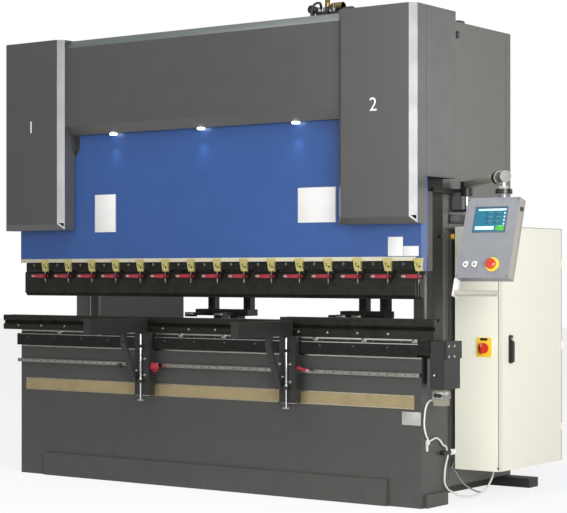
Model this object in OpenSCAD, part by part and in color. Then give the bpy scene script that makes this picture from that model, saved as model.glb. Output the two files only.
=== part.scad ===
/* [Bed and table] */
// Length of the bed, the table and the ram
work_length = 3100; // [3000:10:3200]
// Height of the bed front plate
bed_height = 850; // [830:5:865]
// Depth of the bed from its front plate to its rear plate
bed_depth = 281; // [260:1:300]
// Height of the table bar on the bed
table_height = 76; // [70:1:80]
// Depth of the table bar
table_depth = 140; // [136:1:150]
// Height of the die holder plate
holder_height = 24; // [20:1:28]
// Height of the left die
left_die_height = 96; // [90:1:100]
// Height of the right die
right_die_height = 114; // [104:1:118]
// Depth of the dies
die_depth = 94; // [84:1:100]
// Width of the vee in the top of the dies
vee_width = 40; // [30:1:50]

/* [Ram and upper tools] */
// Opening between the table and the ram strip with the ram up
open_height = 465; // [455:1:480]
// Thickness of the ram plate
ram_thickness = 70; // [60:1:76]
// Height of the ground strip under the ram
strip_height = 25; // [20:1:30]
// Number of tool clamps
clamp_count = 15; // [13:1:16]
// Height of a tool clamp
clamp_height = 60; // [55:1:65]
// Gap between two tool clamps, where a wedge sits
clamp_gap = 57.3; // [52:0.1:70]
// Height of the punch from its tip to the clamps
punch_height = 156; // [145:1:160]
// Length of a clamp lever
lever_length = 118; // [100:1:126]
// Diameter of a clamp lever grip
lever_d = 28; // [22:1:30]
// Diameter of the piston rods
rod_d = 110; // [90:2:120]

/* [Frame and covers] */
// Overall height of the side frames
frame_height = 2820; // [2790:5:2840]
// Thickness of a side frame plate
frame_thickness = 60; // [50:1:64]
// Distance from the bend line to the back of the throat
throat_depth = 390; // [360:5:420]
// Distance from the bend line to the back of the frames
frame_rear = 1310; // [1290:5:1330]
// Width of a cylinder cover
cover_width = 524; // [500:2:540]
// Distance from the bend line to the front of the cylinder covers
cover_front = 170; // [160:1:190]
// Size of the corner bevels of the cylinder covers
cover_bevel = 35; // [25:1:40]
// Height above the floor of the lower edge of the cylinder covers
cover_bottom = 1600; // [1580:5:1620]
// Sheet thickness of the covers
sheet = 5; // [4:0.5:8]
// Height above the floor of the lower edge of the front fascia
fascia_bottom = 2212; // [2190:2:2240]
// Outer diameter of the cylinders
cylinder_d = 250; // [220:2:256]

/* [Cabinet] */
// Width of the cabinet
cabinet_width = 314; // [290:2:330]
// Depth of the cabinet
cabinet_depth = 763; // [700:1:780]
// Height of the cabinet
cabinet_height = 1431; // [1400:1:1450]
// Height of the cabinet above the floor
cabinet_lift = 166; // [150:1:180]
// Thickness of the cabinet door
door_thickness = 24; // [20:1:28]

/* [Control panel on its arm] */
// Length of the arm tube between its two pivots
arm_length = 861; // [820:1:900]
// Diameter of the arm tube
arm_d = 48; // [42:1:54]
// Turn of the arm towards the front
arm_turn = -46.8; // [-60:0.1:-30]
// Width of the control panel
panel_width = 320; // [300:1:340]
// Height of the control panel
panel_height = 457; // [440:1:470]
// Thickness of the control panel
panel_thickness = 67; // [60:1:75]
// Lean of the control panel
panel_lean = 17.6; // [10:0.1:22]

/* [Front support arms] */
// Place of the left arm along the bed
left_arm_x = -451; // [-520:1:-400]
// Place of the right arm along the bed
right_arm_x = 665; // [600:1:720]
// Length of an arm in front of the table
front_arm_length = 529; // [450:1:560]
// Width of the bar of a front arm
front_arm_width = 54; // [48:1:64]
// Height of the bar of a front arm
front_arm_height = 86; // [70:1:94]

/* [Back gauge] */
// Distance from the bend line to the gauge beam
gauge_y = 640; // [600:5:700]
// Place of the left finger unit
left_finger_x = -330; // [-380:5:-250]
// Place of the right finger unit
right_finger_x = 730; // [690:5:800]

/* [Hidden] */
eps = 0.01;
half = work_length / 2;
bed_front = -30;
bed_back = bed_front + bed_depth;
bed_plate = 50;
table_top = bed_height + table_height;
holder_top = table_top + holder_height;
left_die_top = holder_top + left_die_height;
right_die_top = holder_top + right_die_height;
strip_bottom = table_top + open_height;
ram_bottom = strip_bottom + strip_height;
clamp_bottom = strip_bottom - clamp_height;
punch_tip = clamp_bottom - punch_height;
upper = frame_height - ram_bottom;
ram_end_top = ram_bottom + upper * 0.4;
ram_mid_top = ram_bottom + upper * 0.7;
cover_out = half + 37;
cover_in = cover_out - cover_width;
cover_top = frame_height + 5;
cover_mid = (cover_out + cover_in) / 2;
cover_seam = -ram_thickness / 2 - 5;
side_sheet_back = 286;
side_sheet_bottom = cover_bottom + 265;
frame_in = half - 300;
frame_out = frame_in + frame_thickness;
skin_out = frame_in + 152;
skin_front = throat_depth + 65;
skin_back = frame_rear - 20;
frame_upper_front = cylinder_d / 2 + 12;
cylinder_bottom = ram_end_top + 100;
cylinder_top = frame_height - upper * 0.15;
cylinder_height = cylinder_top - cylinder_bottom;
cab_right = skin_out + 34 + cabinet_width;
cab_left = cab_right - cabinet_width;
cab_front = 540;
cab_back = cab_front + cabinet_depth;
cab_top = cabinet_lift + cabinet_height;
pivot_x = skin_out + 78;
pivot_y = 600;
arm_z = cab_top + 250;
elbow_x = pivot_x + arm_length * cos(arm_turn);
elbow_y = pivot_y + arm_length * sin(arm_turn);
panel_x = elbow_x - 44;
panel_top = arm_z - 114;
panel_y = elbow_y - 32;
rail_front = bed_front - 25;
finger_level = left_die_top + 4;
rail_z = bed_height - 113;
rail_height = 23;
clamp_pitch = (work_length - 35) / clamp_count;
clamp_width = clamp_pitch - clamp_gap;
wedge_x = -half + 227;
rail_mid = frame_in - 250;
rail_rear = frame_rear - 60;
rail_top = bed_height - 105;
tank_front = frame_rear - 840;
tank_back = frame_rear - 410;
tank_top = frame_height - 160;
block_end = half + 73;
bracket_bottom = bed_height - 174;
box_bottom = bracket_bottom - 92;
gland_z = box_bottom + 28;
split_z = gland_z - 225;
plug_z = gland_z - 327;
button_level = panel_height - 74;
white_points = [
    [block_end - 10, -5, gland_z],
    [block_end - 20, -5, gland_z],
    [half + 24, -4, gland_z - 18],
    [half + 8, -6, gland_z - 66],
    [half + 6, -12, gland_z - 146],
    [half + 7, 6, split_z + 24],
    [half + 8, 22, split_z + 4],
    [half + 8, 22, split_z - 6]
];
branch_points = [
    [half + 8, 34, split_z - 12],
    [half + 8, 50, split_z - 12],
    [half + 8, 112, split_z],
    [half + 9, 152, split_z - 14],
    [half + 11, 190, split_z - 46],
    [half + 13, 214, plug_z + 48],
    [half + 13, 225, plug_z + 32],
    [half + 13, 225, plug_z + 23]
];
loop_points = [
    [half + 13, 236, plug_z],
    [half + 13, 236, plug_z - 14],
    [half + 11, 210, plug_z - 84],
    [half + 12, 204, plug_z - 154],
    [half + 12, 232, plug_z - 194],
    [half + 10, 292, plug_z - 221],
    [half + 32, 374, plug_z - 254],
    [half + 72, 450, plug_z - 252],
    [cab_left + 202, 545, plug_z - 224],
    [cab_left + 202, 620, cabinet_lift - 52],
    [cab_left + 202, 640, cabinet_lift - 16],
    [cab_left + 202, 640, cabinet_lift]
];
grey_points = [
    [skin_out, 574, 228],
    [skin_out + 8, 574, 228],
    [skin_out + 15, 562, 205],
    [skin_out + 16, 536, 168],
    [cab_left + 14, 530, 144],
    [cab_left + 44, 556, 84],
    [cab_left + 86, 590, 46],
    [cab_left + 106, 650, 26],
    [cab_left + 102, 720, 34],
    [cab_left + 112, 768, 84],
    [cab_left + 122, 785, cabinet_lift - 30],
    [cab_left + 122, 785, cabinet_lift]
];

// Bar with true round corners, drawn as a flat shape
module rounded(x0, y0, x1, y1, r) {
    translate([x0 + r, y0])
        square([x1 - x0 - 2 * r, y1 - y0]);
    translate([x0, y0 + r])
        square([x1 - x0, y1 - y0 - 2 * r]);
    for (x = [x0 + r, x1 - r])
        for (y = [y0 + r, y1 - r])
            translate([x, y])
                circle(r = r, $fn = 48);
}

// Box between two corners
module span(a, b) {
    translate(a)
        cube([b[0] - a[0], b[1] - a[1], b[2] - a[2]]);
}

// Flat shape in depth and height, drawn out along the width from x0 to x1
module across(x0, x1) {
    translate([x0, 0, 0])
        rotate([90, 0, 90])
            linear_extrude(height = x1 - x0)
                children();
}

// Place between two points of a path, steered by the points before and after them
function between(a, b, c, d, t) = 0.5 * (2 * b + (c - a) * t
    + (2 * a - 5 * b + 4 * c - d) * t * t
    + (3 * b - a - 3 * c + d) * t * t * t);

// Smooth path through the given points, with n steps on each stretch
function smooth(p, n) = [
    for (i = [0 : len(p) - 2])
        for (k = [0 : n - 1])
            between(
                i == 0 ? 2 * p[0] - p[1] : p[i - 1],
                p[i],
                p[i + 1],
                i == len(p) - 2 ? 2 * p[i + 1] - p[i] : p[i + 2],
                k / n),
    p[len(p) - 1]
];

// Eight-sided cord along a smooth path; side is a direction that the path never takes
module cord(p, d, side) {
    path = smooth(p, 2);
    last = len(path) - 1;
    end = len(p) - 1;
    ways = [
        for (i = [0 : last])
            i == 0 ? p[1] - p[0] : i == last ? p[end] - p[end - 1] : path[i + 1] - path[i - 1]
    ];
    rings = [
        for (i = [0 : last])
            let (
                t = ways[i] / norm(ways[i]),
                s = cross(t, side) / norm(cross(t, side)),
                u = cross(s, t)
            )
                for (k = [0 : 7])
                    path[i] + d / 2 * (s * cos(45 * k) + u * sin(45 * k))
    ];
    walls = [
        for (i = [0 : last - 1])
            for (k = [0 : 7])
                for (first = [true, false])
                    first
                        ? [i * 8 + k, i * 8 + (k + 1) % 8, i * 8 + 8 + (k + 1) % 8]
                        : [i * 8 + k, i * 8 + 8 + (k + 1) % 8, i * 8 + 8 + k]
    ];
    ends = [
        [for (k = [7 : -1 : 0]) k],
        [for (k = [0 : 7]) last * 8 + k]
    ];
    polyhedron(points = rings, faces = concat(walls, ends));
}

// Copy of the children on both sides of the middle
module both_sides() {
    children();
    mirror([1, 0, 0])
        children();
}

module side_frames() {
    color("dimgray")
        both_sides()
            across(frame_in, frame_out)
                difference() {
                    polygon([
                        [bed_back, 0],
                        [frame_rear, 0],
                        [frame_rear, frame_height],
                        [frame_upper_front, frame_height],
                        [frame_upper_front, cylinder_bottom - 190],
                        [frame_upper_front + 60, cylinder_bottom - 300],
                        [throat_depth, cylinder_bottom - 300],
                        [throat_depth, bed_height + 160],
                        [bed_back, bed_height + 60]
                    ]);
                    translate([throat_depth, cylinder_bottom - 380])
                        rounded(-400, -900 + 190, 0, 80 + eps, 60);
                }
}

module side_covers() {
    color("gray") {
        both_sides()
            difference() {
                span([frame_out, skin_front, 60], [skin_out, skin_back, frame_height + 2]);
                span([frame_out - eps, skin_front + sheet, 60 + sheet],
                    [skin_out - sheet, skin_back - sheet, frame_height + 2 - sheet]);
            }
        difference() {
            span([-skin_out - 98, skin_front, 60], [-skin_out + eps, skin_front + 165, cab_top - 97]);
            span([-skin_out - 98 + sheet, skin_front + sheet, 59],
                [-skin_out - sheet, skin_front + 165 - sheet, cab_top - 97 - sheet]);
        }
    }
}

module bed_box() {
    color("dimgray") {
        span([-half, bed_front, 0], [half, bed_front + bed_plate, bed_height]);
        both_sides()
            span([half - 40, bed_front + bed_plate - eps, 0], [half, bed_back, bed_height]);
        span([-half + 40 - eps, bed_back - 40, 0], [half - 40 + eps, bed_back, bed_height]);
        span([-half + 40 - eps, bed_front + bed_plate - eps, bed_height - 20],
            [half - 40 + eps, bed_back - 40 + eps, bed_height]);
        span([-half + 40 - eps, 95, 60], [half - 40 + eps, 145, bed_height - 20 + eps]);
    }
}

module toe_plates() {
    color("dimgray") {
        across(-half + 220, half - 220)
            polygon([
                [bed_front, 0],
                [bed_front, 150],
                [bed_front - 14, 150],
                [bed_front - 20, 144],
                [bed_front - 20, 0]
            ]);
        both_sides()
            span([half, bed_front + 30, 0], [half + 20, bed_back - 20, 75]);
    }
}

module bed_table() {
    color("darkslategray") {
        across(-half, half)
            polygon([
                [-table_depth / 2, bed_height],
                [table_depth / 2, bed_height],
                [table_depth / 2, table_top],
                [-table_depth / 2 + 4, table_top],
                [-table_depth / 2, table_top - 4]
            ]);
        span([-half - 11, -table_depth / 2 + 15, bed_height + 7],
            [-half + eps, table_depth / 2 - 15, bed_height + 55]);
        span([half - eps, -table_depth / 2, bed_height + 16], [block_end, 60, table_top + 17]);
    }
}

module die_holder() {
    color("slategray")
        across(-half + 30, half - 30)
            polygon([
                [-60, table_top],
                [60, table_top],
                [60, holder_top - 8],
                [52, holder_top],
                [-52, holder_top],
                [-60, holder_top - 8]
            ]);
}

// Outline of a die with a vee on its top, front and back
module die_outline(top, vee) {
    deep = vee * 0.6;
    mid = (holder_top + top) / 2;
    small = vee * 0.4;
    polygon([
        [-die_depth / 2, holder_top],
        [die_depth / 2, holder_top],
        [die_depth / 2, mid - small],
        [die_depth / 2 - small, mid],
        [die_depth / 2, mid + small],
        [die_depth / 2, top],
        [vee / 2, top],
        [0, top - deep],
        [-vee / 2, top],
        [-die_depth / 2, top],
        [-die_depth / 2, mid + small],
        [-die_depth / 2 + small, mid],
        [-die_depth / 2, mid - small]
    ]);
}

module dies() {
    color("darkslategray") {
        across(-half - 150, 581.5)
            die_outline(left_die_top, vee_width);
        across(582.5, half + 90)
            die_outline(right_die_top, vee_width);
    }
}

module support_rail() {
    color("silver")
        across(-half - 10, half)
            polygon([
                [bed_front, rail_z + 3],
                [bed_front, rail_z + rail_height - 3],
                [rail_front + 8, rail_z + rail_height - 3],
                [rail_front + 8, rail_z + rail_height],
                [rail_front, rail_z + rail_height],
                [rail_front, rail_z],
                [rail_front + 8, rail_z],
                [rail_front + 8, rail_z + 3]
            ]);
}

module guide_strip() {
    color("tan")
        span([-half + 47, bed_front - 3, bed_height - 295],
            [half - 47, bed_front, bed_height - 216]);
}

module cylinders() {
    color("gray")
        both_sides()
            translate([cover_mid, 0, 0])
                difference() {
                    union() {
                        translate([0, 0, cylinder_bottom])
                            cylinder(h = cylinder_height, d = cylinder_d, $fn = 96);
                        span([-145, -cylinder_d / 2 - 5, cylinder_bottom],
                            [145, frame_upper_front, cylinder_bottom + 50]);
                        translate([0, 0, cylinder_top - eps])
                            cylinder(h = 60, d = cylinder_d - 40, $fn = 96);
                    }
                    translate([0, 0, cylinder_bottom - 1])
                        cylinder(h = cylinder_height * 0.72, d = rod_d + 2, $fn = 96);
                }
}

// Plan of one cylinder cover, grown inwards by the sheet when it is the inside
module cover_plan(t) {
    b = cover_bevel;
    k = t * 0.414;
    polygon([
        [cover_in + t, cover_seam],
        [cover_in + t, -cover_front + b + k],
        [cover_in + b + k, -cover_front + t],
        [cover_out - b - k, -cover_front + t],
        [cover_out - t, -cover_front + b + k],
        [cover_out - t, cover_seam]
    ]);
}

module cylinder_covers() {
    color("dimgray")
        both_sides() {
            difference() {
                translate([0, 0, cover_bottom])
                    linear_extrude(height = cover_top - cover_bottom)
                        cover_plan(0);
                translate([0, eps, cover_bottom + 38 + sheet])
                    linear_extrude(height = cover_top - cover_bottom - 38 - 2 * sheet)
                        cover_plan(sheet);
                across(cover_in + sheet, cover_out - sheet)
                    polygon([
                        [cover_seam + eps, cover_bottom + sheet],
                        [cover_seam + eps, cover_bottom + 40 + sheet],
                        [-cover_front + sheet + 2, cover_bottom + 40 + sheet],
                        [-cover_front + 40 + sheet, cover_bottom + sheet]
                    ]);
                across(cover_in - 1, cover_out + 1)
                    polygon([
                        [-cover_front - 1, cover_bottom - 1],
                        [-cover_front - 1, cover_bottom + 39],
                        [-cover_front + 39, cover_bottom - 1]
                    ]);
            }
            span([cover_out - sheet, cover_seam + 2, side_sheet_bottom],
                [cover_out, side_sheet_back, cover_top]);
            span([cover_out - 2 * sheet, cover_seam - 20, side_sheet_bottom],
                [cover_out - sheet + eps, cover_seam + 20, cover_top - sheet + eps]);
            span([frame_out, side_sheet_back - sheet, side_sheet_bottom],
                [cover_out - sheet + eps, side_sheet_back, cover_top - sheet + eps]);
            span([frame_in + 1, cover_seam + 2, cover_top - sheet],
                [cover_out - sheet + eps, side_sheet_back, cover_top]);
        }
}

module header() {
    t = sheet;
    front = cover_front - 50;
    top = frame_height;
    color("dimgray") {
        across(-cover_in + 0.5, cover_in - 0.5)
            polygon([
                [-front + 45, fascia_bottom],
                [-front, fascia_bottom + 58],
                [-front, top - 50],
                [-front + 52, top + 2],
                [99.7, top + 2],
                [99.7, top + 2 - t],
                [-front + 52 + t, top + 2 - t],
                [-front + t, top - 50 - t],
                [-front + t, fascia_bottom + 58 + t],
                [-front + 45 + t, fascia_bottom + t + 2],
                [-ram_thickness / 2 - 8, fascia_bottom + t + 2],
                [-ram_thickness / 2 - 8, fascia_bottom]
            ]);
        span([-frame_in, 100, top - 380], [frame_in, 120, top + 2]);
    }
}

module header_lamps() {
    color("gainsboro")
        for (x = [-710, 0, 710])
            translate([x, -cover_front + 106, fascia_bottom - 12])
                cylinder(h = 12, d = 44, $fn = 32);
}

module oil_tank() {
    bottom = tank_top - 400;
    color("dimgray") {
        difference() {
            span([-frame_in, tank_front, bottom], [frame_in, tank_back, tank_top]);
            span([-frame_in + 10, tank_front + 10, bottom + 10],
                [frame_in - 10, tank_back - 10, tank_top - 10]);
        }
        for (x = [-560, 560])
            span([x - 30, tank_back - eps, bottom + 40], [x + 30, tank_back + 30, tank_top - 40]);
        translate([-900, tank_front + 150, tank_top - eps])
            cylinder(h = 50, d = 90, $fn = 48);
    }
}

module hydraulic_unit() {
    top = tank_top;
    back = tank_front + 50;
    color("dimgray") {
        span([-420, tank_front + 90, top], [-60, tank_back - 80, top + 40]);
        translate([-240, tank_front + 220, top + 40 - eps])
            cylinder(h = 40, d = 230, $fn = 64);
        translate([-240, tank_front + 220, top + 80 - 2 * eps])
            cylinder(h = 150, d = 200, $fn = 64);
        translate([-240, tank_front + 220, top + 230 - 3 * eps])
            cylinder(h = 22, d = 170, $fn = 64);
        span([440, tank_front + 10, top], [740, tank_front + 150, top + 240]);
        span([470, back - 30, top + 240 - eps], [560, back + 30, top + 285]);
        span([580, back - 35, top + 240 - eps], [650, back + 35, top + 280]);
        translate([575, back, top + 306])
            rotate([0, 90, 0])
                cylinder(h = 82, d = 58, $fn = 48);
        translate([657 - eps, back, top + 275])
            rotate([0, 90, 0])
                cylinder(h = 70, d = 56, $fn = 48);
        translate([538, back, top + 285 - 2 * eps])
            cylinder(h = 90, d = 28, $fn = 32);
        translate([430, back + 20, top + 306])
            rotate([90, 0, 0])
                cylinder(h = 34, d = 48, $fn = 48);
        translate([430, back + 4, top - eps])
            cylinder(h = 290, d = 18, $fn = 24);
    }
}

module gauge_rails() {
    color("slategray") {
        both_sides() {
            span([rail_mid - 40, bed_back, rail_top - 85], [rail_mid + 40, rail_rear - 0.3, rail_top - 25]);
            span([rail_mid - 15, bed_back + 20, rail_top - 25 - eps],
                [rail_mid + 15, rail_rear - 20, rail_top]);
        }
        span([-frame_in, rail_rear, rail_top - 145], [frame_in, rail_rear + 40, rail_top - 5]);
    }
}

module rear_feet() {
    color("black") {
        span([-half - 45, frame_rear - 138, 0], [-frame_out, frame_rear - 21, 58]);
        span([frame_out, frame_rear - 138, 0], [half + 45, frame_rear - 21, 58]);
        span([-frame_in, frame_rear - 120, 0], [frame_in, frame_rear - 40, 160]);
    }
}

module cabinet_body() {
    t = 12;
    x1 = cab_right - door_thickness - 0.3;
    color("ivory") {
        difference() {
            span([cab_left, cab_front, cabinet_lift], [x1, cab_back, cab_top]);
            span([cab_left + t, cab_front + t, cabinet_lift + t],
                [x1 + 1, cab_back - t, cab_top - t]);
        }
        for (y = [cab_front + 80, cab_back - 140])
            for (z = [cabinet_lift + 200, cab_top - 260])
                span([skin_out, y, z], [cab_left + eps, y + 60, z + 60]);
    }
}

module cabinet_door() {
    x0 = cab_right - door_thickness;
    color("ivory") {
        difference() {
            span([x0, cab_front + 4, cabinet_lift + 4], [cab_right, cab_back, cab_top - 4]);
            span([x0 - 1, cab_front + 28, cabinet_lift + 28],
                [cab_right - 6, cab_back - 24, cab_top - 28]);
        }
        // Three hinge barrels on the turning axis
        for (z = [cabinet_lift + 190, (cabinet_lift + cab_top) / 2 - 25, cab_top - 240]) {
            span([cab_right - eps, cab_back - 30, z], [cab_right + 3, cab_back + 5, z + 50]);
            translate([cab_right + 3, cab_back + 5, z])
                cylinder(h = 50, d = 14, $fn = 32);
        }
    }
}

module door_handle() {
    low = cabinet_lift + 629;
    front = cab_front + 78;
    color("black") {
        translate([cab_right, 0, 0])
            rotate([90, 0, 90])
                linear_extrude(height = 10)
                    rounded(front, low, front + 40, low + 165, 12);
        translate([cab_right + 10 - eps, 0, 0])
            rotate([90, 0, 90])
                linear_extrude(height = 14)
                    rounded(front + 8, low + 7, front + 32, low + 130, 10);
    }
}

module switch_plate() {
    low = cabinet_lift + 666;
    color("gold")
        translate([0, cab_front, 0])
            rotate([90, 0, 0])
                linear_extrude(height = 5)
                    rounded(cab_left + 148, low, cab_left + 246, low + 114, 8);
}

module switch_knob() {
    color("red")
        translate([cab_left + 197, cab_front - 5.4, cabinet_lift + 718])
            rotate([90, 0, 0]) {
                cylinder(h = 16, d = 62, $fn = 48);
                translate([-9, -30, 16 - eps])
                    cube([18, 60, 20]);
            }
}

module side_bracket() {
    x0 = block_end;
    z0 = bracket_bottom;
    z1 = table_top + 17;
    color("darkslategray") {
        difference() {
            span([x0, -60, z0], [x0 + 92, 113, z1]);
            span([x0 + 12, -48, z0 + 12], [x0 + 80, 114, z1 - 12]);
        }
        span([x0 - 20, -60, z0], [x0 + eps, -48, bed_height - 4]);
        span([half, 20, bed_height - 150], [x0 + eps, 100, bed_height + 6]);
        span([x0 + 92 - eps, -55, bed_height - 4], [x0 + 104, 113, z1]);
    }
}

module junction_box() {
    x0 = block_end + 12;
    z0 = box_bottom;
    color("ivory") {
        span([x0, -45, z0], [x0 + 66, 20, z0 + 84]);
        span([x0 - 4, -49, z0 + 37], [x0 + 72, 24, z0 + 77]);
        span([x0 + 10, -35, z0 + 84 - eps], [x0 + 56, 10, bracket_bottom]);
        translate([x0 + eps, -5, gland_z])
            rotate([0, -90, 0])
                cylinder(h = 22 + eps, d = 26, $fn = 32);
    }
}

// Plug and splitter of the side cables, on the end of the bed
module cable_plug() {
    color("black") {
        span([half, 170, plug_z], [half + 26, 245, plug_z + 23]);
        translate([half + 13, 245 - eps, plug_z + 12])
            rotate([-90, 0, 0])
                cylinder(h = 46, d = 24, $fn = 32);
        span([half, 12, split_z - 30], [half + 16, 34, split_z - 6]);
        span([half, 14, split_z - 68], [half + 10, 26, split_z - 30 + eps]);
    }
}

module white_cable() {
    color("white")
        cord(white_points, 11, [0, 1, 0]);
}

module branch_cable() {
    color("white")
        cord(branch_points, 11, [1, 0, 0]);
}

module loop_cable() {
    color("white")
        cord(loop_points, 11, [0.85, -0.53, 0]);
}

module grey_cable() {
    color("gray")
        cord(grey_points, 9, [0.7, -0.7, 0]);
}

module arm_bracket() {
    top = arm_z - 25;
    color("black") {
        span([skin_out, pivot_y - 60, top - 135], [skin_out + 12, pivot_y + 60, top]);
        span([skin_out + 12 - eps, pivot_y - 26, top - 18], [pivot_x, pivot_y + 26, top]);
        translate([pivot_x, pivot_y, top - 42])
            cylinder(h = 42, d = 72, $fn = 48);
        translate([pivot_x, pivot_y, top - 123 - eps])
            cylinder(h = 82, d = 20, $fn = 32);
        span([skin_out + 12 - eps, pivot_y - 40, top - 135], [pivot_x + 20, pivot_y + 40, top - 123]);
        span([skin_out, pivot_y - 72, top - 205], [skin_out + 10, pivot_y + 100, top - 153]);
    }
}

module ram() {
    y0 = -ram_thickness / 2;
    color("royalblue") {
        translate([0, -y0, 0])
            rotate([90, 0, 0])
                linear_extrude(height = ram_thickness)
                    polygon([
                        [-half, ram_bottom],
                        [half, ram_bottom],
                        [half, ram_end_top],
                        [cover_in + 60, ram_end_top],
                        [cover_in - 40, ram_end_top + 150],
                        [cover_in - 40, ram_mid_top],
                        [-cover_in + 40, ram_mid_top],
                        [-cover_in + 40, ram_end_top + 150],
                        [-cover_in - 60, ram_end_top],
                        [-half, ram_end_top]
                    ]);
        span([half - 34, y0 + 5, strip_bottom - 56], [half, -y0 - 5, ram_bottom + eps]);
    }
}

module ram_strip() {
    y1 = ram_thickness / 2;
    color("lightgray") {
        span([-half, -y1, strip_bottom], [half - 34, y1, ram_bottom]);
        both_sides()
            span([half - 60, y1, strip_bottom - 56], [half, y1 + 53, ram_bottom + 369]);
    }
}

module tool_clamps() {
    color("black") {
        for (i = [0 : clamp_count - 1])
            translate([wedge_x + clamp_pitch * i - clamp_pitch / 2, 0, 0])
                across(-clamp_width / 2, clamp_width / 2)
                    polygon([
                        [-26, clamp_bottom],
                        [-9, clamp_bottom],
                        [-9, clamp_bottom + 30],
                        [9, clamp_bottom + 30],
                        [9, clamp_bottom],
                        [30, clamp_bottom],
                        [30, strip_bottom],
                        [-30, strip_bottom],
                        [-36, strip_bottom - 6],
                        [-36, clamp_bottom + 12],
                        [-30, clamp_bottom + 6]
                    ]);
        for (i = [0 : clamp_count - 1])
            translate([wedge_x + clamp_pitch * i, 0, clamp_bottom]) {
                span([-clamp_gap / 2 - 7, -36, -16], [clamp_gap / 2 + 7, -22, 2.7]);
                span([-4, -36, -41], [24, -22, -16 + eps]);
            }
    }
}

module clamp_wedges() {
    h = clamp_height;
    color("khaki")
        for (i = [0 : clamp_count - 1])
            translate([wedge_x + clamp_pitch * i, 0, clamp_bottom]) {
                translate([0, -ram_thickness / 2 - 1, 0])
                    rotate([90, 0, 0])
                        linear_extrude(height = 12)
                            difference() {
                                polygon([
                                    [-14, 3],
                                    [29, 3],
                                    [22, h * 0.32],
                                    [22, h - 6],
                                    [27, h - 6],
                                    [27, h + 17],
                                    [-27, h + 17],
                                    [-27, h - 6],
                                    [-20, h * 0.25]
                                ]);
                                polygon([
                                    [-19, h - 10],
                                    [3, h - 10],
                                    [-8, h * 0.42]
                                ]);
                            }
                seat = i == clamp_count - 1 ? -ram_thickness / 2 + 4.7 : -9;
                span([-24, -ram_thickness / 2 - 1.01, 8], [20, seat, h - 0.3]);
                translate([0, -ram_thickness / 2 - 7, -66])
                    cylinder(h = 70, d = 8, $fn = 24);
                translate([0, -ram_thickness / 2 - 7, -54])
                    cylinder(h = 12, d = 12, $fn = 24);
            }
}

module clamp_levers() {
    y = -ram_thickness / 2 - 29;
    color("crimson")
        for (i = [0 : clamp_count - 1])
            translate([wedge_x + clamp_pitch * i, y, clamp_bottom - 27]) {
                rotate([0, -90, 0])
                    translate([0, 0, lever_length - 50 - eps])
                        cylinder(h = 30, d1 = lever_d * 0.6, d2 = lever_d * 0.5, $fn = 24);
                rotate([0, -90, 0])
                    translate([0, 0, -20])
                        cylinder(h = lever_length - 30, d1 = lever_d, d2 = lever_d * 0.7, $fn = 24);
                translate([14, 0, 0])
                    rotate([-90, 0, 0])
                        cylinder(h = -36 - y, d = 14, $fn = 24);
            }
}

module punch() {
    color("darkslategray") {
        across(-half + 25, half - 15)
            polygon([
                [0, punch_tip],
                [6, punch_tip + 8],
                [20, punch_tip + 22],
                [20, clamp_bottom - 6],
                [16, clamp_bottom],
                [-16, clamp_bottom],
                [-20, clamp_bottom - 6],
                [-20, punch_tip + 22],
                [-6, punch_tip + 8]
            ]);
        across(-half + 25, half - 41)
            polygon([
                [-8, clamp_bottom - eps],
                [8, clamp_bottom - eps],
                [8, clamp_bottom + 28],
                [-8, clamp_bottom + 28]
            ]);
    }
}

module piston_rods() {
    color("silver")
        both_sides()
            translate([cover_mid, 0, ram_end_top]) {
                cylinder(h = 36, d = rod_d + 60, $fn = 96);
                cylinder(h = 100 + cylinder_height * 0.43, d = rod_d, $fn = 96);
            }
}

module gauge_beam() {
    z0 = rail_top + 0.3;
    color("slategray") {
        both_sides()
            span([rail_mid - 70, gauge_y - 100, z0], [rail_mid + 70, gauge_y + 100, z0 + 70]);
        span([-rail_mid - 100, gauge_y - 45, z0 + 70 - eps], [rail_mid + 100, gauge_y + 45, z0 + 150]);
        span([-rail_mid - 80, gauge_y - 30, z0 + 150 - eps], [rail_mid + 80, gauge_y - 5, z0 + 165]);
    }
}

// One finger unit on the gauge beam, with its two columns at the given offsets
module finger_unit(x, posts, low_step, slab_end, tips) {
    z0 = rail_top + 0.3;
    slab = finger_level - 5;
    color("black")
        translate([x, gauge_y, 0]) {
            span([-150, -75, z0 + 165.3], [150, 60, z0 + 225]);
            span([-90, -40, z0 + 225 - eps], [-30, 50, slab + eps]);
            span([40, -40, z0 + 225 - eps], [100, 50, slab + eps]);
            span([-235 + low_step, -50, slab], [slab_end, 60, slab + 42]);
            if (low_step > 0)
                span([-235, -50, slab - 14], [-235 + low_step + eps, 60, slab + 16]);
            for (s = posts)
                difference() {
                    span([s - 28, 0, slab + 42 - eps], [s + 28, 50, finger_level + 300]);
                    span([s - 6, -1, slab + 60], [s + 6, 8, finger_level + 301]);
                }
            for (s = tips)
                span([s - 22, -180, slab + 4], [s + 22, -50 + eps, slab + 22]);
            for (s = tips)
                span([s - 34, -225, slab - 4], [s + 34, -180 + eps, slab + 24]);
        }
}

module left_finger() {
    finger_unit(left_finger_x, [-140, 152], 0, 195, [-150, 90]);
}

module right_finger() {
    finger_unit(right_finger_x, [-10, 144], 90, 182, [-24, 90]);
}

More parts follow.
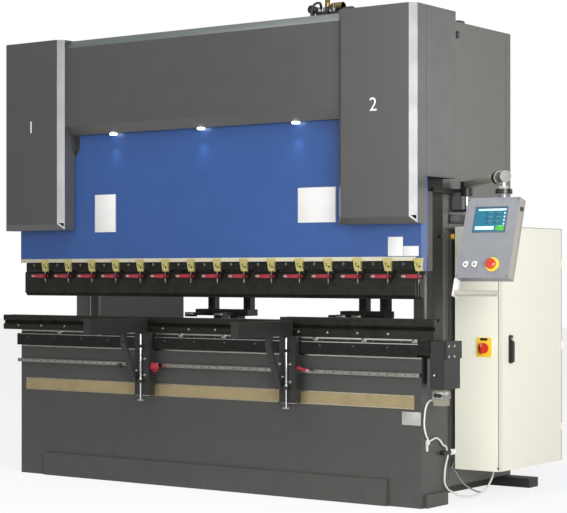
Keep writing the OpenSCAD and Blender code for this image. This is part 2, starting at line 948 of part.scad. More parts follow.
// One front support arm on the rail, centred on the given place
module front_arm(x) {
    top = left_die_top - 6;
    low = top - front_arm_height;
    back = -table_depth / 2 - 6;
    face = back - 34;
    left = -22;
    right = left + front_arm_width;
    front = back - front_arm_length;
    foot = rail_z - 169;
    rail_top_edge = rail_z + rail_height;
    color("black")
        translate([x, 0, 0]) {
            difference() {
                span([left, front, low], [right, back, top]);
                span([left + 6, front + 6, low - 1], [right - 6, back - 40, top - 6]);
            }
            span([-42, face, bed_height - 5], [75, back, low + eps]);
            span([-42, face, foot], [75, rail_front - 0.3, bed_height - 5 + eps]);
            span([-60, face, rail_z - 97], [-42 + eps, rail_front - 0.3, rail_z + 63]);
            span([-42, rail_front - 0.3 - eps, rail_top_edge + 1.5],
                [75, rail_front + 6, rail_top_edge + 14]);
            span([-42, rail_front - 0.3 - eps, rail_z - 14], [75, rail_front + 6, rail_z - 1.5]);
            span([-46, face - 4, foot - 8], [79, rail_front - 2, foot + eps]);
            across(-50, -8)
                polygon([
                    [face - 130, low + 32],
                    [face - 112, low + 32],
                    [face - 112, low - 62],
                    [face - 18, rail_z - 69],
                    [face + 1, rail_z - 69],
                    [face + 1, rail_z - 97],
                    [face - 26, rail_z - 97],
                    [face - 130, low - 64]
                ]);
            for (z = [rail_z - 97, rail_z + 123])
                difference() {
                    span([0, face - 28, z], [36, face + eps, z + 18]);
                    translate([18, face - 14, z - 1])
                        cylinder(h = 20, d = 17, $fn = 32);
                }
        }
}

module left_front_arm() {
    front_arm(left_arm_x);
}

module right_front_arm() {
    front_arm(right_arm_x);
}

// Height screw with its cross handle beside the given arm
module arm_screw(x) {
    back = -table_depth / 2 - 6;
    low = rail_z - 205;
    neck = rail_z - 97;
    top = left_die_top - 6 - front_arm_height - 10;
    color("silver")
        translate([x + 18, back - 48, 0]) {
            translate([0, 0, neck])
                cylinder(h = top - neck, d = 16, $fn = 32);
            translate([0, 0, low])
                cylinder(h = neck - low + eps, d = 10, $fn = 32);
            translate([-22, 0, low])
                rotate([0, 90, 0])
                    cylinder(h = 44, d = 10, $fn = 24);
        }
}

module left_arm_screw() {
    arm_screw(left_arm_x);
}

module right_arm_screw() {
    arm_screw(right_arm_x);
}

// Star knob that locks the left arm on the rail
module left_arm_knob() {
    color("crimson")
        translate([left_arm_x + 75, rail_front - 40, rail_z + 3])
            rotate([0, 90, 0]) {
                cylinder(h = 20, d = 16, $fn = 24);
                translate([0, 0, 20 - eps])
                    linear_extrude(height = 26)
                        polygon([
                            for (k = [0 : 9])
                                (k % 2 == 0 ? 33 : 23) * [cos(36 * k), sin(36 * k)]
                        ]);
            }
}

// Lever that locks the right arm on the rail
module right_arm_knob() {
    color("crimson")
        translate([right_arm_x + 75, rail_front - 31, rail_z + 30])
            rotate([0, 90, 0]) {
                cylinder(h = 16, d = 24, $fn = 32);
                translate([0, 0, 8])
                    rotate([0, 13, 0])
                        cylinder(h = 68, d1 = 14, d2 = 20, $fn = 32);
            }
}

module panel_arm() {
    tube_end = arm_length - 78;
    color("silver") {
        translate([pivot_x, pivot_y, 0]) {
            translate([0, 0, arm_z - 24.5])
                cylinder(h = 43.5, d = arm_d + 24, $fn = 48);
            rotate([0, 0, arm_turn])
                translate([0, 0, arm_z])
                    rotate([0, 90, 0]) {
                        cylinder(h = tube_end, d = arm_d, $fn = 48);
                        translate([0, 0, tube_end - 60])
                            cylinder(h = 60, d = arm_d + 25, $fn = 48);
                        translate([0, 0, tube_end - eps])
                            cylinder(h = 113, d = arm_d + 14, $fn = 48);
                    }
        }
        translate([elbow_x, elbow_y, arm_z - 52 - eps])
            cylinder(h = 52, d = 24, $fn = 32);
        translate([elbow_x, elbow_y, arm_z - 67])
            cylinder(h = 15, d = 56, $fn = 32);
    }
}

module panel_case() {
    t = 4;
    color("silver") {
        translate([elbow_x, elbow_y, panel_top + 19])
            cylinder(h = 27.5, d = 90, $fn = 48);
        translate([elbow_x, elbow_y, panel_top - 26])
            cylinder(h = 45 + eps, d = 50, $fn = 48);
        translate([panel_x, panel_y, panel_top])
            rotate([-panel_lean, 0, 0])
                difference() {
                    span([-panel_width / 2, 0, -panel_height],
                        [panel_width / 2, panel_thickness, 0]);
                    span([-panel_width / 2 + t, 22, -panel_height + t],
                        [panel_width / 2 - t, panel_thickness - t, -t - 4]);
                    span([-98, -1, -196], [94, 6, -56]);
                    for (x = [-108, -53])
                        translate([x, -1, -button_level])
                            rotate([-90, 0, 0])
                                cylinder(h = 13, d = 35, $fn = 48);
                    translate([54, -1, -button_level])
                        rotate([-90, 0, 0])
                            cylinder(h = 15, d = 24, $fn = 48);
                }
    }
}

module stop_ring() {
    color("gold")
        translate([panel_x, panel_y, panel_top])
            rotate([-panel_lean, 0, 0])
                translate([54, 0, -button_level])
                    rotate([90, 0, 0])
                        difference() {
                            cylinder(h = 8, d = 78, $fn = 48);
                            translate([0, 0, -1])
                                cylinder(h = 10, d = 24, $fn = 48);
                        }
}

module panel_screen() {
    color("teal")
        translate([panel_x, panel_y, panel_top])
            rotate([-panel_lean, 0, 0])
                span([-97.5, 2, -195.5], [93.5, 6, -56.5]);
}

module panel_handle() {
    left = -panel_width / 2;
    color("gainsboro")
        translate([panel_x, panel_y, panel_top])
            rotate([-panel_lean, 0, 0]) {
                span([left - 10, 4, -panel_height - 100], [left + 2, 52, -panel_height]);
                translate([left + 2 - eps, 18, -panel_height - 82])
                    rotate([0, 90, 0])
                        cylinder(h = 258, d = 32, $fn = 32);
            }
}

// Round push button in its recess on the control panel
module push_button(x) {
    translate([panel_x, panel_y, panel_top])
        rotate([-panel_lean, 0, 0])
            translate([x, 5, -button_level])
                rotate([90, 0, 0])
                    cylinder(h = 14, d = 33, $fn = 48);
}

module stop_button() {
    color("red")
        translate([panel_x, panel_y, panel_top])
            rotate([-panel_lean, 0, 0])
                translate([54, 5, -button_level])
                    rotate([90, 0, 0]) {
                        cylinder(h = 20, d = 22, $fn = 48);
                        translate([0, 0, 20 - eps])
                            cylinder(h = 14, d = 56, $fn = 48);
                        translate([0, 0, 34 - 2 * eps])
                            cylinder(h = 6, d1 = 56, d2 = 42, $fn = 48);
                    }
}

module left_button() {
    color("white")
        push_button(-108);
}

module right_button() {
    color("white")
        push_button(-53);
}

side_frames();
side_covers();
bed_box();
toe_plates();
bed_table();
die_holder();
dies();
support_rail();
guide_strip();
cylinders();
cylinder_covers();
header();
header_lamps();
oil_tank();
hydraulic_unit();
gauge_rails();
rear_feet();
cabinet_body();
cabinet_door();
door_handle();
switch_plate();
switch_knob();
side_bracket();
junction_box();
arm_bracket();
ram();
ram_strip();
tool_clamps();
clamp_wedges();
clamp_levers();
punch();
piston_rods();
gauge_beam();
left_finger();
right_finger();
left_front_arm();
right_front_arm();
left_arm_screw();
right_arm_screw();
left_arm_knob();
right_arm_knob();
panel_arm();
panel_case();
panel_screen();
panel_handle();
stop_ring();
stop_button();
left_button();
right_button();
cable_plug();
white_cable();
branch_cable();
loop_cable();
grey_cable();
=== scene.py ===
"""Looks of a hydraulic press brake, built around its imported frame.

Sizes are in metres: +X to the operator's right, +Y into the machine, +Z up.
"""

import logging
import math
from dataclasses import dataclass
from enum import Enum
from typing import Any, Iterable, Sequence

import bpy
import numpy as np
from mathutils import Matrix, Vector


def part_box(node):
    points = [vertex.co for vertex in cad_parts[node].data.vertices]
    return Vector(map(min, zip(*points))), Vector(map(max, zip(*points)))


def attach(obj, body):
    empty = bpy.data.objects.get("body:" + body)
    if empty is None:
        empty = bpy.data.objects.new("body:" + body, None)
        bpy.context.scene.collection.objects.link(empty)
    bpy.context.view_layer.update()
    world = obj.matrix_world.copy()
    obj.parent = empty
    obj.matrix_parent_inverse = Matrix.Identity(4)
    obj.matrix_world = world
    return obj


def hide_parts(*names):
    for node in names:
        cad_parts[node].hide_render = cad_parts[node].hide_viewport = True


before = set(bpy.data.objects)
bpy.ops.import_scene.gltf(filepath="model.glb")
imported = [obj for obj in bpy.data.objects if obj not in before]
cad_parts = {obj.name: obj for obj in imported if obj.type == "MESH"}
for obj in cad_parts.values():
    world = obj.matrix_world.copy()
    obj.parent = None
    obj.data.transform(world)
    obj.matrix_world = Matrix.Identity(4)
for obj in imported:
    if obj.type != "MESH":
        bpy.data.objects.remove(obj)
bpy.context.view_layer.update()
LOG = logging.getLogger("press_brake")
Array = np.ndarray
Color = tuple[float, float, float]


class Axis(Enum):
    """Direction that a turned or scattered shape points in."""

    RIGHT = (1.0, 0.0, 0.0)
    LEFT = (-1.0, 0.0, 0.0)
    BACK = (0.0, 1.0, 0.0)
    FRONT = (0.0, -1.0, 0.0)
    UP = (0.0, 0.0, 1.0)
    DOWN = (0.0, 0.0, -1.0)


def srgb(red: float, green: float, blue: float) -> Color:
    """Turns display colour values from 0 to 255 into linear ones.

    Args:
        red: red value.
        green: green value.
        blue: blue value.

    Returns:
        The linear colour.
    """
    v = np.array([red, green, blue]) / 255.0
    lin = np.where(v <= 0.04045, v / 12.92, ((v + 0.055) / 1.055) ** 2.4)
    return tuple(float(c) for c in lin)


def low(node: str) -> Array:
    """Lowest corner of a CAD node."""
    return np.array(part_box(node)[0])


def high(node: str) -> Array:
    """Highest corner of a CAD node."""
    return np.array(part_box(node)[1])


# ---------------------------------------------------------------- shapes


def turn_to(axis: Sequence[float]) -> Array:
    """Rotation that carries +Z onto the given direction.

    Args:
        axis: the wanted direction.

    Returns:
        A 3 by 3 matrix whose columns are two side directions and the axis.
    """
    w = np.array(axis, float) / np.linalg.norm(axis)
    side = np.array([0.0, 0.0, 1.0]) if abs(w[2]) < 0.9 else np.array([1.0, 0.0, 0.0])
    u = np.cross(side, w)
    u /= np.linalg.norm(u)
    return np.stack([u, np.cross(w, u), w], axis=1)


def grid_faces(rows: int, cols: int, close: bool) -> Array:
    """Quads of a grid of points, row by row.

    Args:
        rows: number of rows.
        cols: number of points in a row.
        close: whether the last column joins the first.

    Returns:
        Point numbers of each quad.
    """
    span = cols if close else cols - 1
    i, j = np.meshgrid(np.arange(rows - 1), np.arange(span), indexing="ij")
    k = (j + 1) % cols
    quads = np.stack([i * cols + j, i * cols + k, (i + 1) * cols + k, (i + 1) * cols + j], -1)
    return quads.reshape(-1, 4)


@dataclass
class Shape:
    """Points and faces of one closed or open surface."""

    points: Array
    faces: list[list[int]]

    def moved(self, place: Sequence[float]) -> "Shape":
        """The same shape shifted by a vector."""
        return Shape(self.points + np.array(place, float), self.faces)

    def turned(self, matrix: Array) -> "Shape":
        """The same shape with every point multiplied by a rotation."""
        return Shape(self.points @ np.asarray(matrix).T, self.faces)

    def scattered(self, places: Iterable[Sequence[float]], axis: Axis | Sequence[float]) -> "Shape":
        """Copies of the shape, turned to an axis, one at each place.

        Args:
            places: where the copies go.
            axis: direction that the shape's +Z takes.

        Returns:
            All copies as one shape: point = place + rotation times base point.
        """
        where = np.array([tuple(p) for p in places], float).reshape(-1, 3)
        way = axis.value if isinstance(axis, Axis) else axis
        base = self.points @ turn_to(way).T
        points = (where[:, None, :] + base[None]).reshape(-1, 3)
        count = len(base)
        faces = [[v + count * n for v in f] for n in range(len(where)) for f in self.faces]
        return Shape(points, faces)


def joined(shapes: Iterable[Shape]) -> Shape:
    """Several shapes as one, with the point numbers run on."""
    points: list[Array] = []
    faces: list[list[int]] = []
    start = 0
    for s in shapes:
        points.append(s.points)
        faces.extend([[v + start for v in f] for f in s.faces])
        start += len(s.points)
    return Shape(np.concatenate(points), faces)


def lathe(profile: Sequence[Sequence[float]], sides: int = 24) -> Shape:
    """Surface of revolution about +Z with both ends closed.

    Formula: the point at step k and turn a is (r_k cos a, r_k sin a, z_k).

    Args:
        profile: rows of (radius, height) from the lower end to the upper end.
        sides: number of turns of the grid.

    Returns:
        The closed shape.
    """
    p = np.array(profile, float)
    a = np.linspace(0, 2 * math.pi, sides, endpoint=False)
    points = np.stack([p[:, :1] * np.cos(a), p[:, :1] * np.sin(a), np.repeat(p[:, 1:], sides, 1)], -1)
    quads = grid_faces(len(p), sides, True)
    last = (len(p) - 1) * sides
    faces = quads.tolist() + [list(range(sides))[::-1], list(range(last, last + sides))]
    return Shape(points.reshape(-1, 3), faces)


def block(size: Sequence[float], radius: float = 0.001, steps: int = 3) -> Shape:
    """Box with round edges, centred on the origin.

    Formula: for the angles u and v, the unit direction d of a ball is taken, and the point is
    the sign of d times (half size less radius) plus radius times d, with doubled rings where the
    sign changes so that the flats stay flat.

    Args:
        size: full size along X, Y and Z.
        radius: edge radius.
        steps: grid steps on each quarter turn.

    Returns:
        The closed shape.
    """
    half = np.array(size, float) / 2
    r = min(radius, float(half.min()) * 0.98)
    q = np.linspace(0, math.pi / 2, steps)
    turn = np.concatenate([q + k * math.pi / 2 for k in range(4)])
    sx = np.repeat([1, -1, -1, 1], steps)
    sy = np.repeat([1, 1, -1, -1], steps)
    rise = np.concatenate([q - math.pi / 2, q])
    sz = np.repeat([-1, 1], steps)
    x = sx * (half[0] - r) + r * np.cos(rise)[:, None] * np.cos(turn)
    y = sy * (half[1] - r) + r * np.cos(rise)[:, None] * np.sin(turn)
    z = np.repeat((sz * (half[2] - r) + r * np.sin(rise))[:, None], len(turn), 1)
    quads = grid_faces(len(rise), len(turn), True)
    last = (len(rise) - 1) * len(turn)
    caps = [list(range(len(turn)))[::-1], list(range(last, last + len(turn)))]
    return Shape(np.stack([x, y, z], -1).reshape(-1, 3), quads.tolist() + caps)


def slab(a: Sequence[float], b: Sequence[float], radius: float = 0.001) -> Shape:
    """Round-edged box between two corners."""
    p, q = np.array(a, float), np.array(b, float)
    return block(q - p, radius).moved((p + q) / 2)


def smooth_path(points: Sequence[Sequence[float]], count: int) -> Array:
    """Points evenly spread on a soft curve through given points.

    Formula: between two given points the Catmull-Rom cubic in t is used, whose slopes are half
    the difference of the neighbouring points.

    Args:
        points: points that the curve passes.
        count: number of points wanted.

    Returns:
        An array of count points.
    """
    p = np.array(points, float)
    p = np.concatenate([p[:1] * 2 - p[1:2], p, p[-1:] * 2 - p[-2:-1]])
    t = np.linspace(0, len(p) - 3 - 1e-9, count)
    k = t.astype(int)
    f = (t - k)[:, None]
    a, b, c, d = p[k], p[k + 1], p[k + 2], p[k + 3]
    return 0.5 * (2 * b + (c - a) * f + (2 * a - 5 * b + 4 * c - d) * f**2 + (3 * b - a - 3 * c + d) * f**3)


def tube(path: Array, radius: float, sides: int = 12) -> Shape:
    """Round tube carried along a path, with both ends closed.

    Formula: a ring of the radius stands square to the path at each point; its side direction is
    the path's direction crossed with one fixed direction that the path never takes.

    Args:
        path: points of the middle line.
        radius: tube radius.
        sides: points in a ring.

    Returns:
        The closed shape.
    """
    way = np.gradient(path, axis=0)
    way /= np.linalg.norm(way, axis=1)[:, None]
    spread = np.abs(way).max(0)
    fixed = np.eye(3)[int(np.argmin(spread))] + np.array([0.013, 0.021, 0.017])
    u = np.cross(way, fixed)
    u /= np.linalg.norm(u, axis=1)[:, None]
    v = np.cross(way, u)
    a = np.linspace(0, 2 * math.pi, sides, endpoint=False)
    ring = np.cos(a)[None, :, None] * u[:, None] + np.sin(a)[None, :, None] * v[:, None]
    points = (path[:, None] + radius * ring).reshape(-1, 3)
    quads = grid_faces(len(path), sides, True)
    last = (len(path) - 1) * sides
    caps = [list(range(sides))[::-1], list(range(last, last + sides))]
    return Shape(points, quads.tolist() + caps)


def bolt_head(radius: float, height: float, sides: int = 12) -> Shape:
    """Cap screw head with its socket, pointing along +Z from the origin.

    Formula: a lathe of the rim, the crown's edge and a socket that goes back down.
    """
    r, h = radius, height
    rows = [(r, 0), (r, h * 0.86), (r * 0.9, h), (r * 0.52, h), (r * 0.48, h * 0.45)]
    return lathe(rows, sides)


def hex_head(radius: float, height: float) -> Shape:
    """Hexagon bolt head on its washer, pointing along +Z from the origin."""
    washer = lathe([(radius * 1.35, 0), (radius * 1.35, height * 0.15), (radius * 1.3, height * 0.2)], 18)
    head = lathe([(radius * 1.1, height * 0.2), (radius * 1.1, height * 0.9), (radius * 0.95, height)], 6)
    return joined([washer, head])


# ---------------------------------------------------------------- node groups


class Graph:
    """Short calls that make nodes and links in one node tree."""

    def __init__(self, tree: Any) -> None:
        """Keeps the tree that the calls work on."""
        self.tree = tree

    def node(self, kind: str, **settings: Any) -> Any:
        """Adds a node.

        Args:
            kind: the node's type name.
            settings: attributes set on the node.

        Returns:
            The new node.
        """
        made = self.tree.nodes.new(kind)
        for key, value in settings.items():
            setattr(made, key, value)
        return made

    def feed(self, socket: Any, source: Any) -> None:
        """Links an output, or writes a plain value, into an input socket."""
        if hasattr(source, "is_linked") or hasattr(source, "links"):
            self.tree.links.new(source, socket)
        else:
            socket.default_value = source

    def math(self, operation: str, a: Any, b: Any = 0.0, c: Any = 0.0, clamp: bool = False) -> Any:
        """Adds a Math node and returns its output."""
        made = self.node("ShaderNodeMath", operation=operation, use_clamp=clamp)
        for socket, source in zip(made.inputs, (a, b, c)):
            self.feed(socket, source)
        return made.outputs[0]

    def noise(self, place: Any, scale: Any, detail: float = 3.0, rough: float = 0.5) -> Any:
        """Adds a Noise Texture and returns its value output."""
        made = self.node("ShaderNodeTexNoise")
        self.feed(made.inputs["Vector"], place)
        self.feed(made.inputs["Scale"], scale)
        made.inputs["Detail"].default_value = detail
        made.inputs["Roughness"].default_value = rough
        return made.outputs["Fac"]

    def mix(self, factor: Any, a: Any, b: Any, blend: str = "MIX") -> Any:
        """Adds a colour Mix node and returns its result."""
        made = self.node("ShaderNodeMix", data_type="RGBA", blend_type=blend, clamp_factor=True)
        self.feed(made.inputs["Factor"], factor)
        self.feed(made.inputs["A"], a)
        self.feed(made.inputs["B"], b)
        return made.outputs["Result"]

    def ramp(self, value: Any, lo: float, hi: float) -> Any:
        """Maps a value from lo..hi to 0..1, clamped, and returns it."""
        made = self.node("ShaderNodeMapRange", clamp=True)
        self.feed(made.inputs["Value"], value)
        made.inputs["From Min"].default_value = lo
        made.inputs["From Max"].default_value = hi
        return made.outputs["Result"]

    def spread(self, scale: Sequence[float]) -> Any:
        """Object coordinates, stretched by a scale on each axis."""
        coords = self.node("ShaderNodeTexCoord")
        mapping = self.node("ShaderNodeMapping")
        self.tree.links.new(coords.outputs["Object"], mapping.inputs["Vector"])
        mapping.inputs["Scale"].default_value = tuple(scale)
        return mapping.outputs["Vector"]


def new_group(name: str, inputs: dict[str, Any], outputs: dict[str, str]) -> tuple[Any, Graph, Any, Any]:
    """Starts a shader node group.

    Args:
        name: name of the group.
        inputs: socket name to its default value; a tuple is a colour, a float is a value.
        outputs: socket name to its socket type.

    Returns:
        The group, a Graph on it, its input node and its output node.
    """
    tree = bpy.data.node_groups.new(name, "ShaderNodeTree")
    for key, value in inputs.items():
        kind = "NodeSocketColor" if isinstance(value, tuple) else "NodeSocketFloat"
        made = tree.interface.new_socket(key, in_out="INPUT", socket_type=kind)
        made.default_value = value
    for key, kind in outputs.items():
        tree.interface.new_socket(key, in_out="OUTPUT", socket_type=kind)
    g = Graph(tree)
    return tree, g, g.node("NodeGroupInput"), g.node("NodeGroupOutput")


class Groups:
    """Node groups that several materials share, each built once."""

    def __init__(self) -> None:
        """Builds the groups."""
        self.paint = self._paint()
        self.grain = self._grain()
        self.dust = self._dust()

    def _paint(self) -> Any:
        """Sprayed paint: slow tone changes and a fine skin of tiny bumps.

        Returns:
            The group: Color, Rough, Height from Color, Tone, Skin.
        """
        tree, g, i, o = new_group(
            "sprayed_paint",
            {"Color": (0.5, 0.5, 0.5, 1.0), "Tone": 0.06, "Skin": 0.4, "Rough": 0.4},
            {"Color": "NodeSocketColor", "Rough": "NodeSocketFloat", "Height": "NodeSocketFloat"},
        )
        place = g.spread((1, 1, 1))
        slow = g.noise(place, 1.7, 2.0)
        cloud = g.noise(place, 9.0, 4.0)
        fine = g.noise(place, 520.0, 1.0)
        tone = g.math("MULTIPLY", g.math("SUBTRACT", g.math("ADD", slow, cloud), 1.0), i.outputs["Tone"])
        value = g.math("ADD", 1.0, g.math("MULTIPLY", tone, 2.4))
        hue = g.node("ShaderNodeHueSaturation")
        g.feed(hue.inputs["Value"], value)
        g.feed(hue.inputs["Color"], i.outputs["Color"])
        g.feed(o.inputs["Color"], hue.outputs["Color"])
        g.feed(o.inputs["Rough"], g.math("ADD", i.outputs["Rough"], g.math("MULTIPLY", g.math("SUBTRACT", cloud, 0.5), 0.18)))
        g.feed(o.inputs["Height"], g.math("MULTIPLY", fine, i.outputs["Skin"]))
        return tree

    def _grain(self) -> Any:
        """Machined metal: long thin strokes along one axis, with blotches of oil.

        Returns:
            The group: Color, Rough, Height from Color, Strength, Oil and a stretch along X, Y, Z.
        """
        tree, g, i, o = new_group(
            "machined_grain",
            {"Color": (0.5, 0.5, 0.5, 1.0), "Strength": 0.3, "Oil": 0.2, "Rough": 0.3,
             "X": 4.0, "Y": 260.0, "Z": 260.0},
            {"Color": "NodeSocketColor", "Rough": "NodeSocketFloat", "Height": "NodeSocketFloat"},
        )
        coords = g.node("ShaderNodeTexCoord")
        stretch = g.node("ShaderNodeCombineXYZ")
        for k in "XYZ":
            g.feed(stretch.inputs[k], i.outputs[k])
        scaled = g.node("ShaderNodeVectorMath", operation="MULTIPLY")
        g.feed(scaled.inputs[0], coords.outputs["Object"])
        g.feed(scaled.inputs[1], stretch.outputs[0])
        strokes = g.noise(scaled.outputs[0], 1.0, 3.0, 0.6)
        blot = g.noise(coords.outputs["Object"], 14.0, 4.0, 0.6)
        oil = g.math("MULTIPLY", g.ramp(blot, 0.45, 0.7), i.outputs["Oil"])
        level = g.math("ADD", 1.0, g.math("MULTIPLY", g.math("SUBTRACT", strokes, 0.5), i.outputs["Strength"]))
        hue = g.node("ShaderNodeHueSaturation")
        g.feed(hue.inputs["Value"], g.math("SUBTRACT", level, oil))
        g.feed(hue.inputs["Color"], i.outputs["Color"])
        g.feed(o.inputs["Color"], hue.outputs["Color"])
        wave = g.math("MULTIPLY", g.math("SUBTRACT", strokes, 0.5), 0.3)
        g.feed(o.inputs["Rough"], g.math("ADD", i.outputs["Rough"], g.math("SUBTRACT", wave, g.math("MULTIPLY", oil, 0.3))))
        g.feed(o.inputs["Height"], strokes)
        return tree

    def _dust(self) -> Any:
        """Workshop dust that lies on faces that look up and gathers near the floor.

        Returns:
            The group: a Mask from Amount.
        """
        tree, g, i, o = new_group("workshop_dust", {"Amount": 0.3}, {"Mask": "NodeSocketFloat"})
        geometry = g.node("ShaderNodeNewGeometry")
        split = g.node("ShaderNodeSeparateXYZ")
        g.feed(split.inputs[0], geometry.outputs["Normal"])
        place = g.spread((1, 1, 1))
        height = g.node("ShaderNodeSeparateXYZ")
        g.feed(height.inputs[0], place)
        cloud = g.ramp(g.noise(place, 22.0, 5.0, 0.65), 0.3, 0.75)
        top = g.ramp(split.outputs["Z"], 0.5, 1.0)
        foot = g.math("MULTIPLY", g.ramp(height.outputs["Z"], 0.35, 0.0), 0.6)
        mask = g.math("MULTIPLY", g.math("MAXIMUM", top, foot), cloud)
        g.feed(o.inputs["Mask"], g.math("MULTIPLY", mask, i.outputs["Amount"], clamp=True))
        return tree


@dataclass(frozen=True)
class Paint:
    """Sprayed or powder-coated finish."""

    name: str
    color: Color
    rough: float = 0.42
    tone: float = 0.05
    skin: float = 0.4
    dust: float = 0.15
    coat: float = 0.0
    gloss: float = 0.5

    def material(self, groups: Groups) -> Any:
        """Makes the material of this finish."""
        made, g, shader = new_material(self.name)
        shader.inputs["Specular IOR Level"].default_value = self.gloss
        skin = g.node("ShaderNodeGroup", node_tree=groups.paint)
        skin.inputs["Color"].default_value = (*self.color, 1.0)
        skin.inputs["Tone"].default_value = self.tone
        skin.inputs["Skin"].default_value = self.skin
        skin.inputs["Rough"].default_value = self.rough
        dust = g.node("ShaderNodeGroup", node_tree=groups.dust)
        dust.inputs["Amount"].default_value = self.dust
        grey = (0.2, 0.19, 0.175, 1.0)
        g.feed(shader.inputs["Base Color"], g.mix(dust.outputs["Mask"], skin.outputs["Color"], grey))
        g.feed(shader.inputs["Roughness"], g.math("ADD", skin.outputs["Rough"], g.math("MULTIPLY", dust.outputs["Mask"], 0.4)))
        add_bump(g, shader, skin.outputs["Height"], 0.00012)
        shader.inputs["Coat Weight"].default_value = self.coat
        shader.inputs["Coat Roughness"].default_value = 0.15
        return made


@dataclass(frozen=True)
class Metal:
    """Machined, ground or plated metal."""

    name: str
    color: Color
    rough: float = 0.3
    metallic: float = 1.0
    strength: float = 0.35
    oil: float = 0.1
    stretch: tuple[float, float, float] = (6.0, 300.0, 300.0)
    depth: float = 0.00006

    def material(self, groups: Groups) -> Any:
        """Makes the material of this finish."""
        made, g, shader = new_material(self.name)
        grain = g.node("ShaderNodeGroup", node_tree=groups.grain)
        grain.inputs["Color"].default_value = (*self.color, 1.0)
        grain.inputs["Strength"].default_value = self.strength
        grain.inputs["Oil"].default_value = self.oil
        grain.inputs["Rough"].default_value = self.rough
        for key, value in zip("XYZ", self.stretch):
            grain.inputs[key].default_value = value
        g.feed(shader.inputs["Base Color"], grain.outputs["Color"])
        g.feed(shader.inputs["Roughness"], grain.outputs["Rough"])
        add_bump(g, shader, grain.outputs["Height"], self.depth)
        shader.inputs["Metallic"].default_value = self.metallic
        return made


@dataclass(frozen=True)
class Plastic:
    """Moulded plastic with a faint texture."""

    name: str
    color: Color
    rough: float = 0.35
    glow: float = 0.0
    coat: float = 0.3

    def material(self, groups: Groups) -> Any:
        """Makes the material of this finish."""
        made, g, shader = new_material(self.name)
        skin = g.node("ShaderNodeGroup", node_tree=groups.paint)
        skin.inputs["Color"].default_value = (*self.color, 1.0)
        skin.inputs["Tone"].default_value = 0.03
        skin.inputs["Skin"].default_value = 0.6
        skin.inputs["Rough"].default_value = self.rough
        g.feed(shader.inputs["Base Color"], skin.outputs["Color"])
        g.feed(shader.inputs["Roughness"], skin.outputs["Rough"])
        add_bump(g, shader, skin.outputs["Height"], 0.00006)
        shader.inputs["Coat Weight"].default_value = self.coat
        shader.inputs["Coat Roughness"].default_value = 0.1
        if self.glow:
            shader.inputs["Emission Color"].default_value = (*self.color, 1.0)
            shader.inputs["Emission Strength"].default_value = self.glow
        return made


def new_material(name: str) -> tuple[Any, Graph, Any]:
    """Starts a material with nodes.

    Args:
        name: name of the material.

    Returns:
        The material, a Graph on its tree and its Principled shader.
    """
    made = bpy.data.materials.new(name)
    made.use_nodes = True
    return made, Graph(made.node_tree), made.node_tree.nodes["Principled BSDF"]


def add_bump(g: Graph, shader: Any, height: Any, depth: float) -> None:
    """Feeds a height through a Bump node into the shader's normal."""
    bump = g.node("ShaderNodeBump")
    bump.inputs["Distance"].default_value = depth
    bump.inputs["Strength"].default_value = 1.0
    g.feed(bump.inputs["Height"], height)
    g.feed(shader.inputs["Normal"], bump.outputs["Normal"])


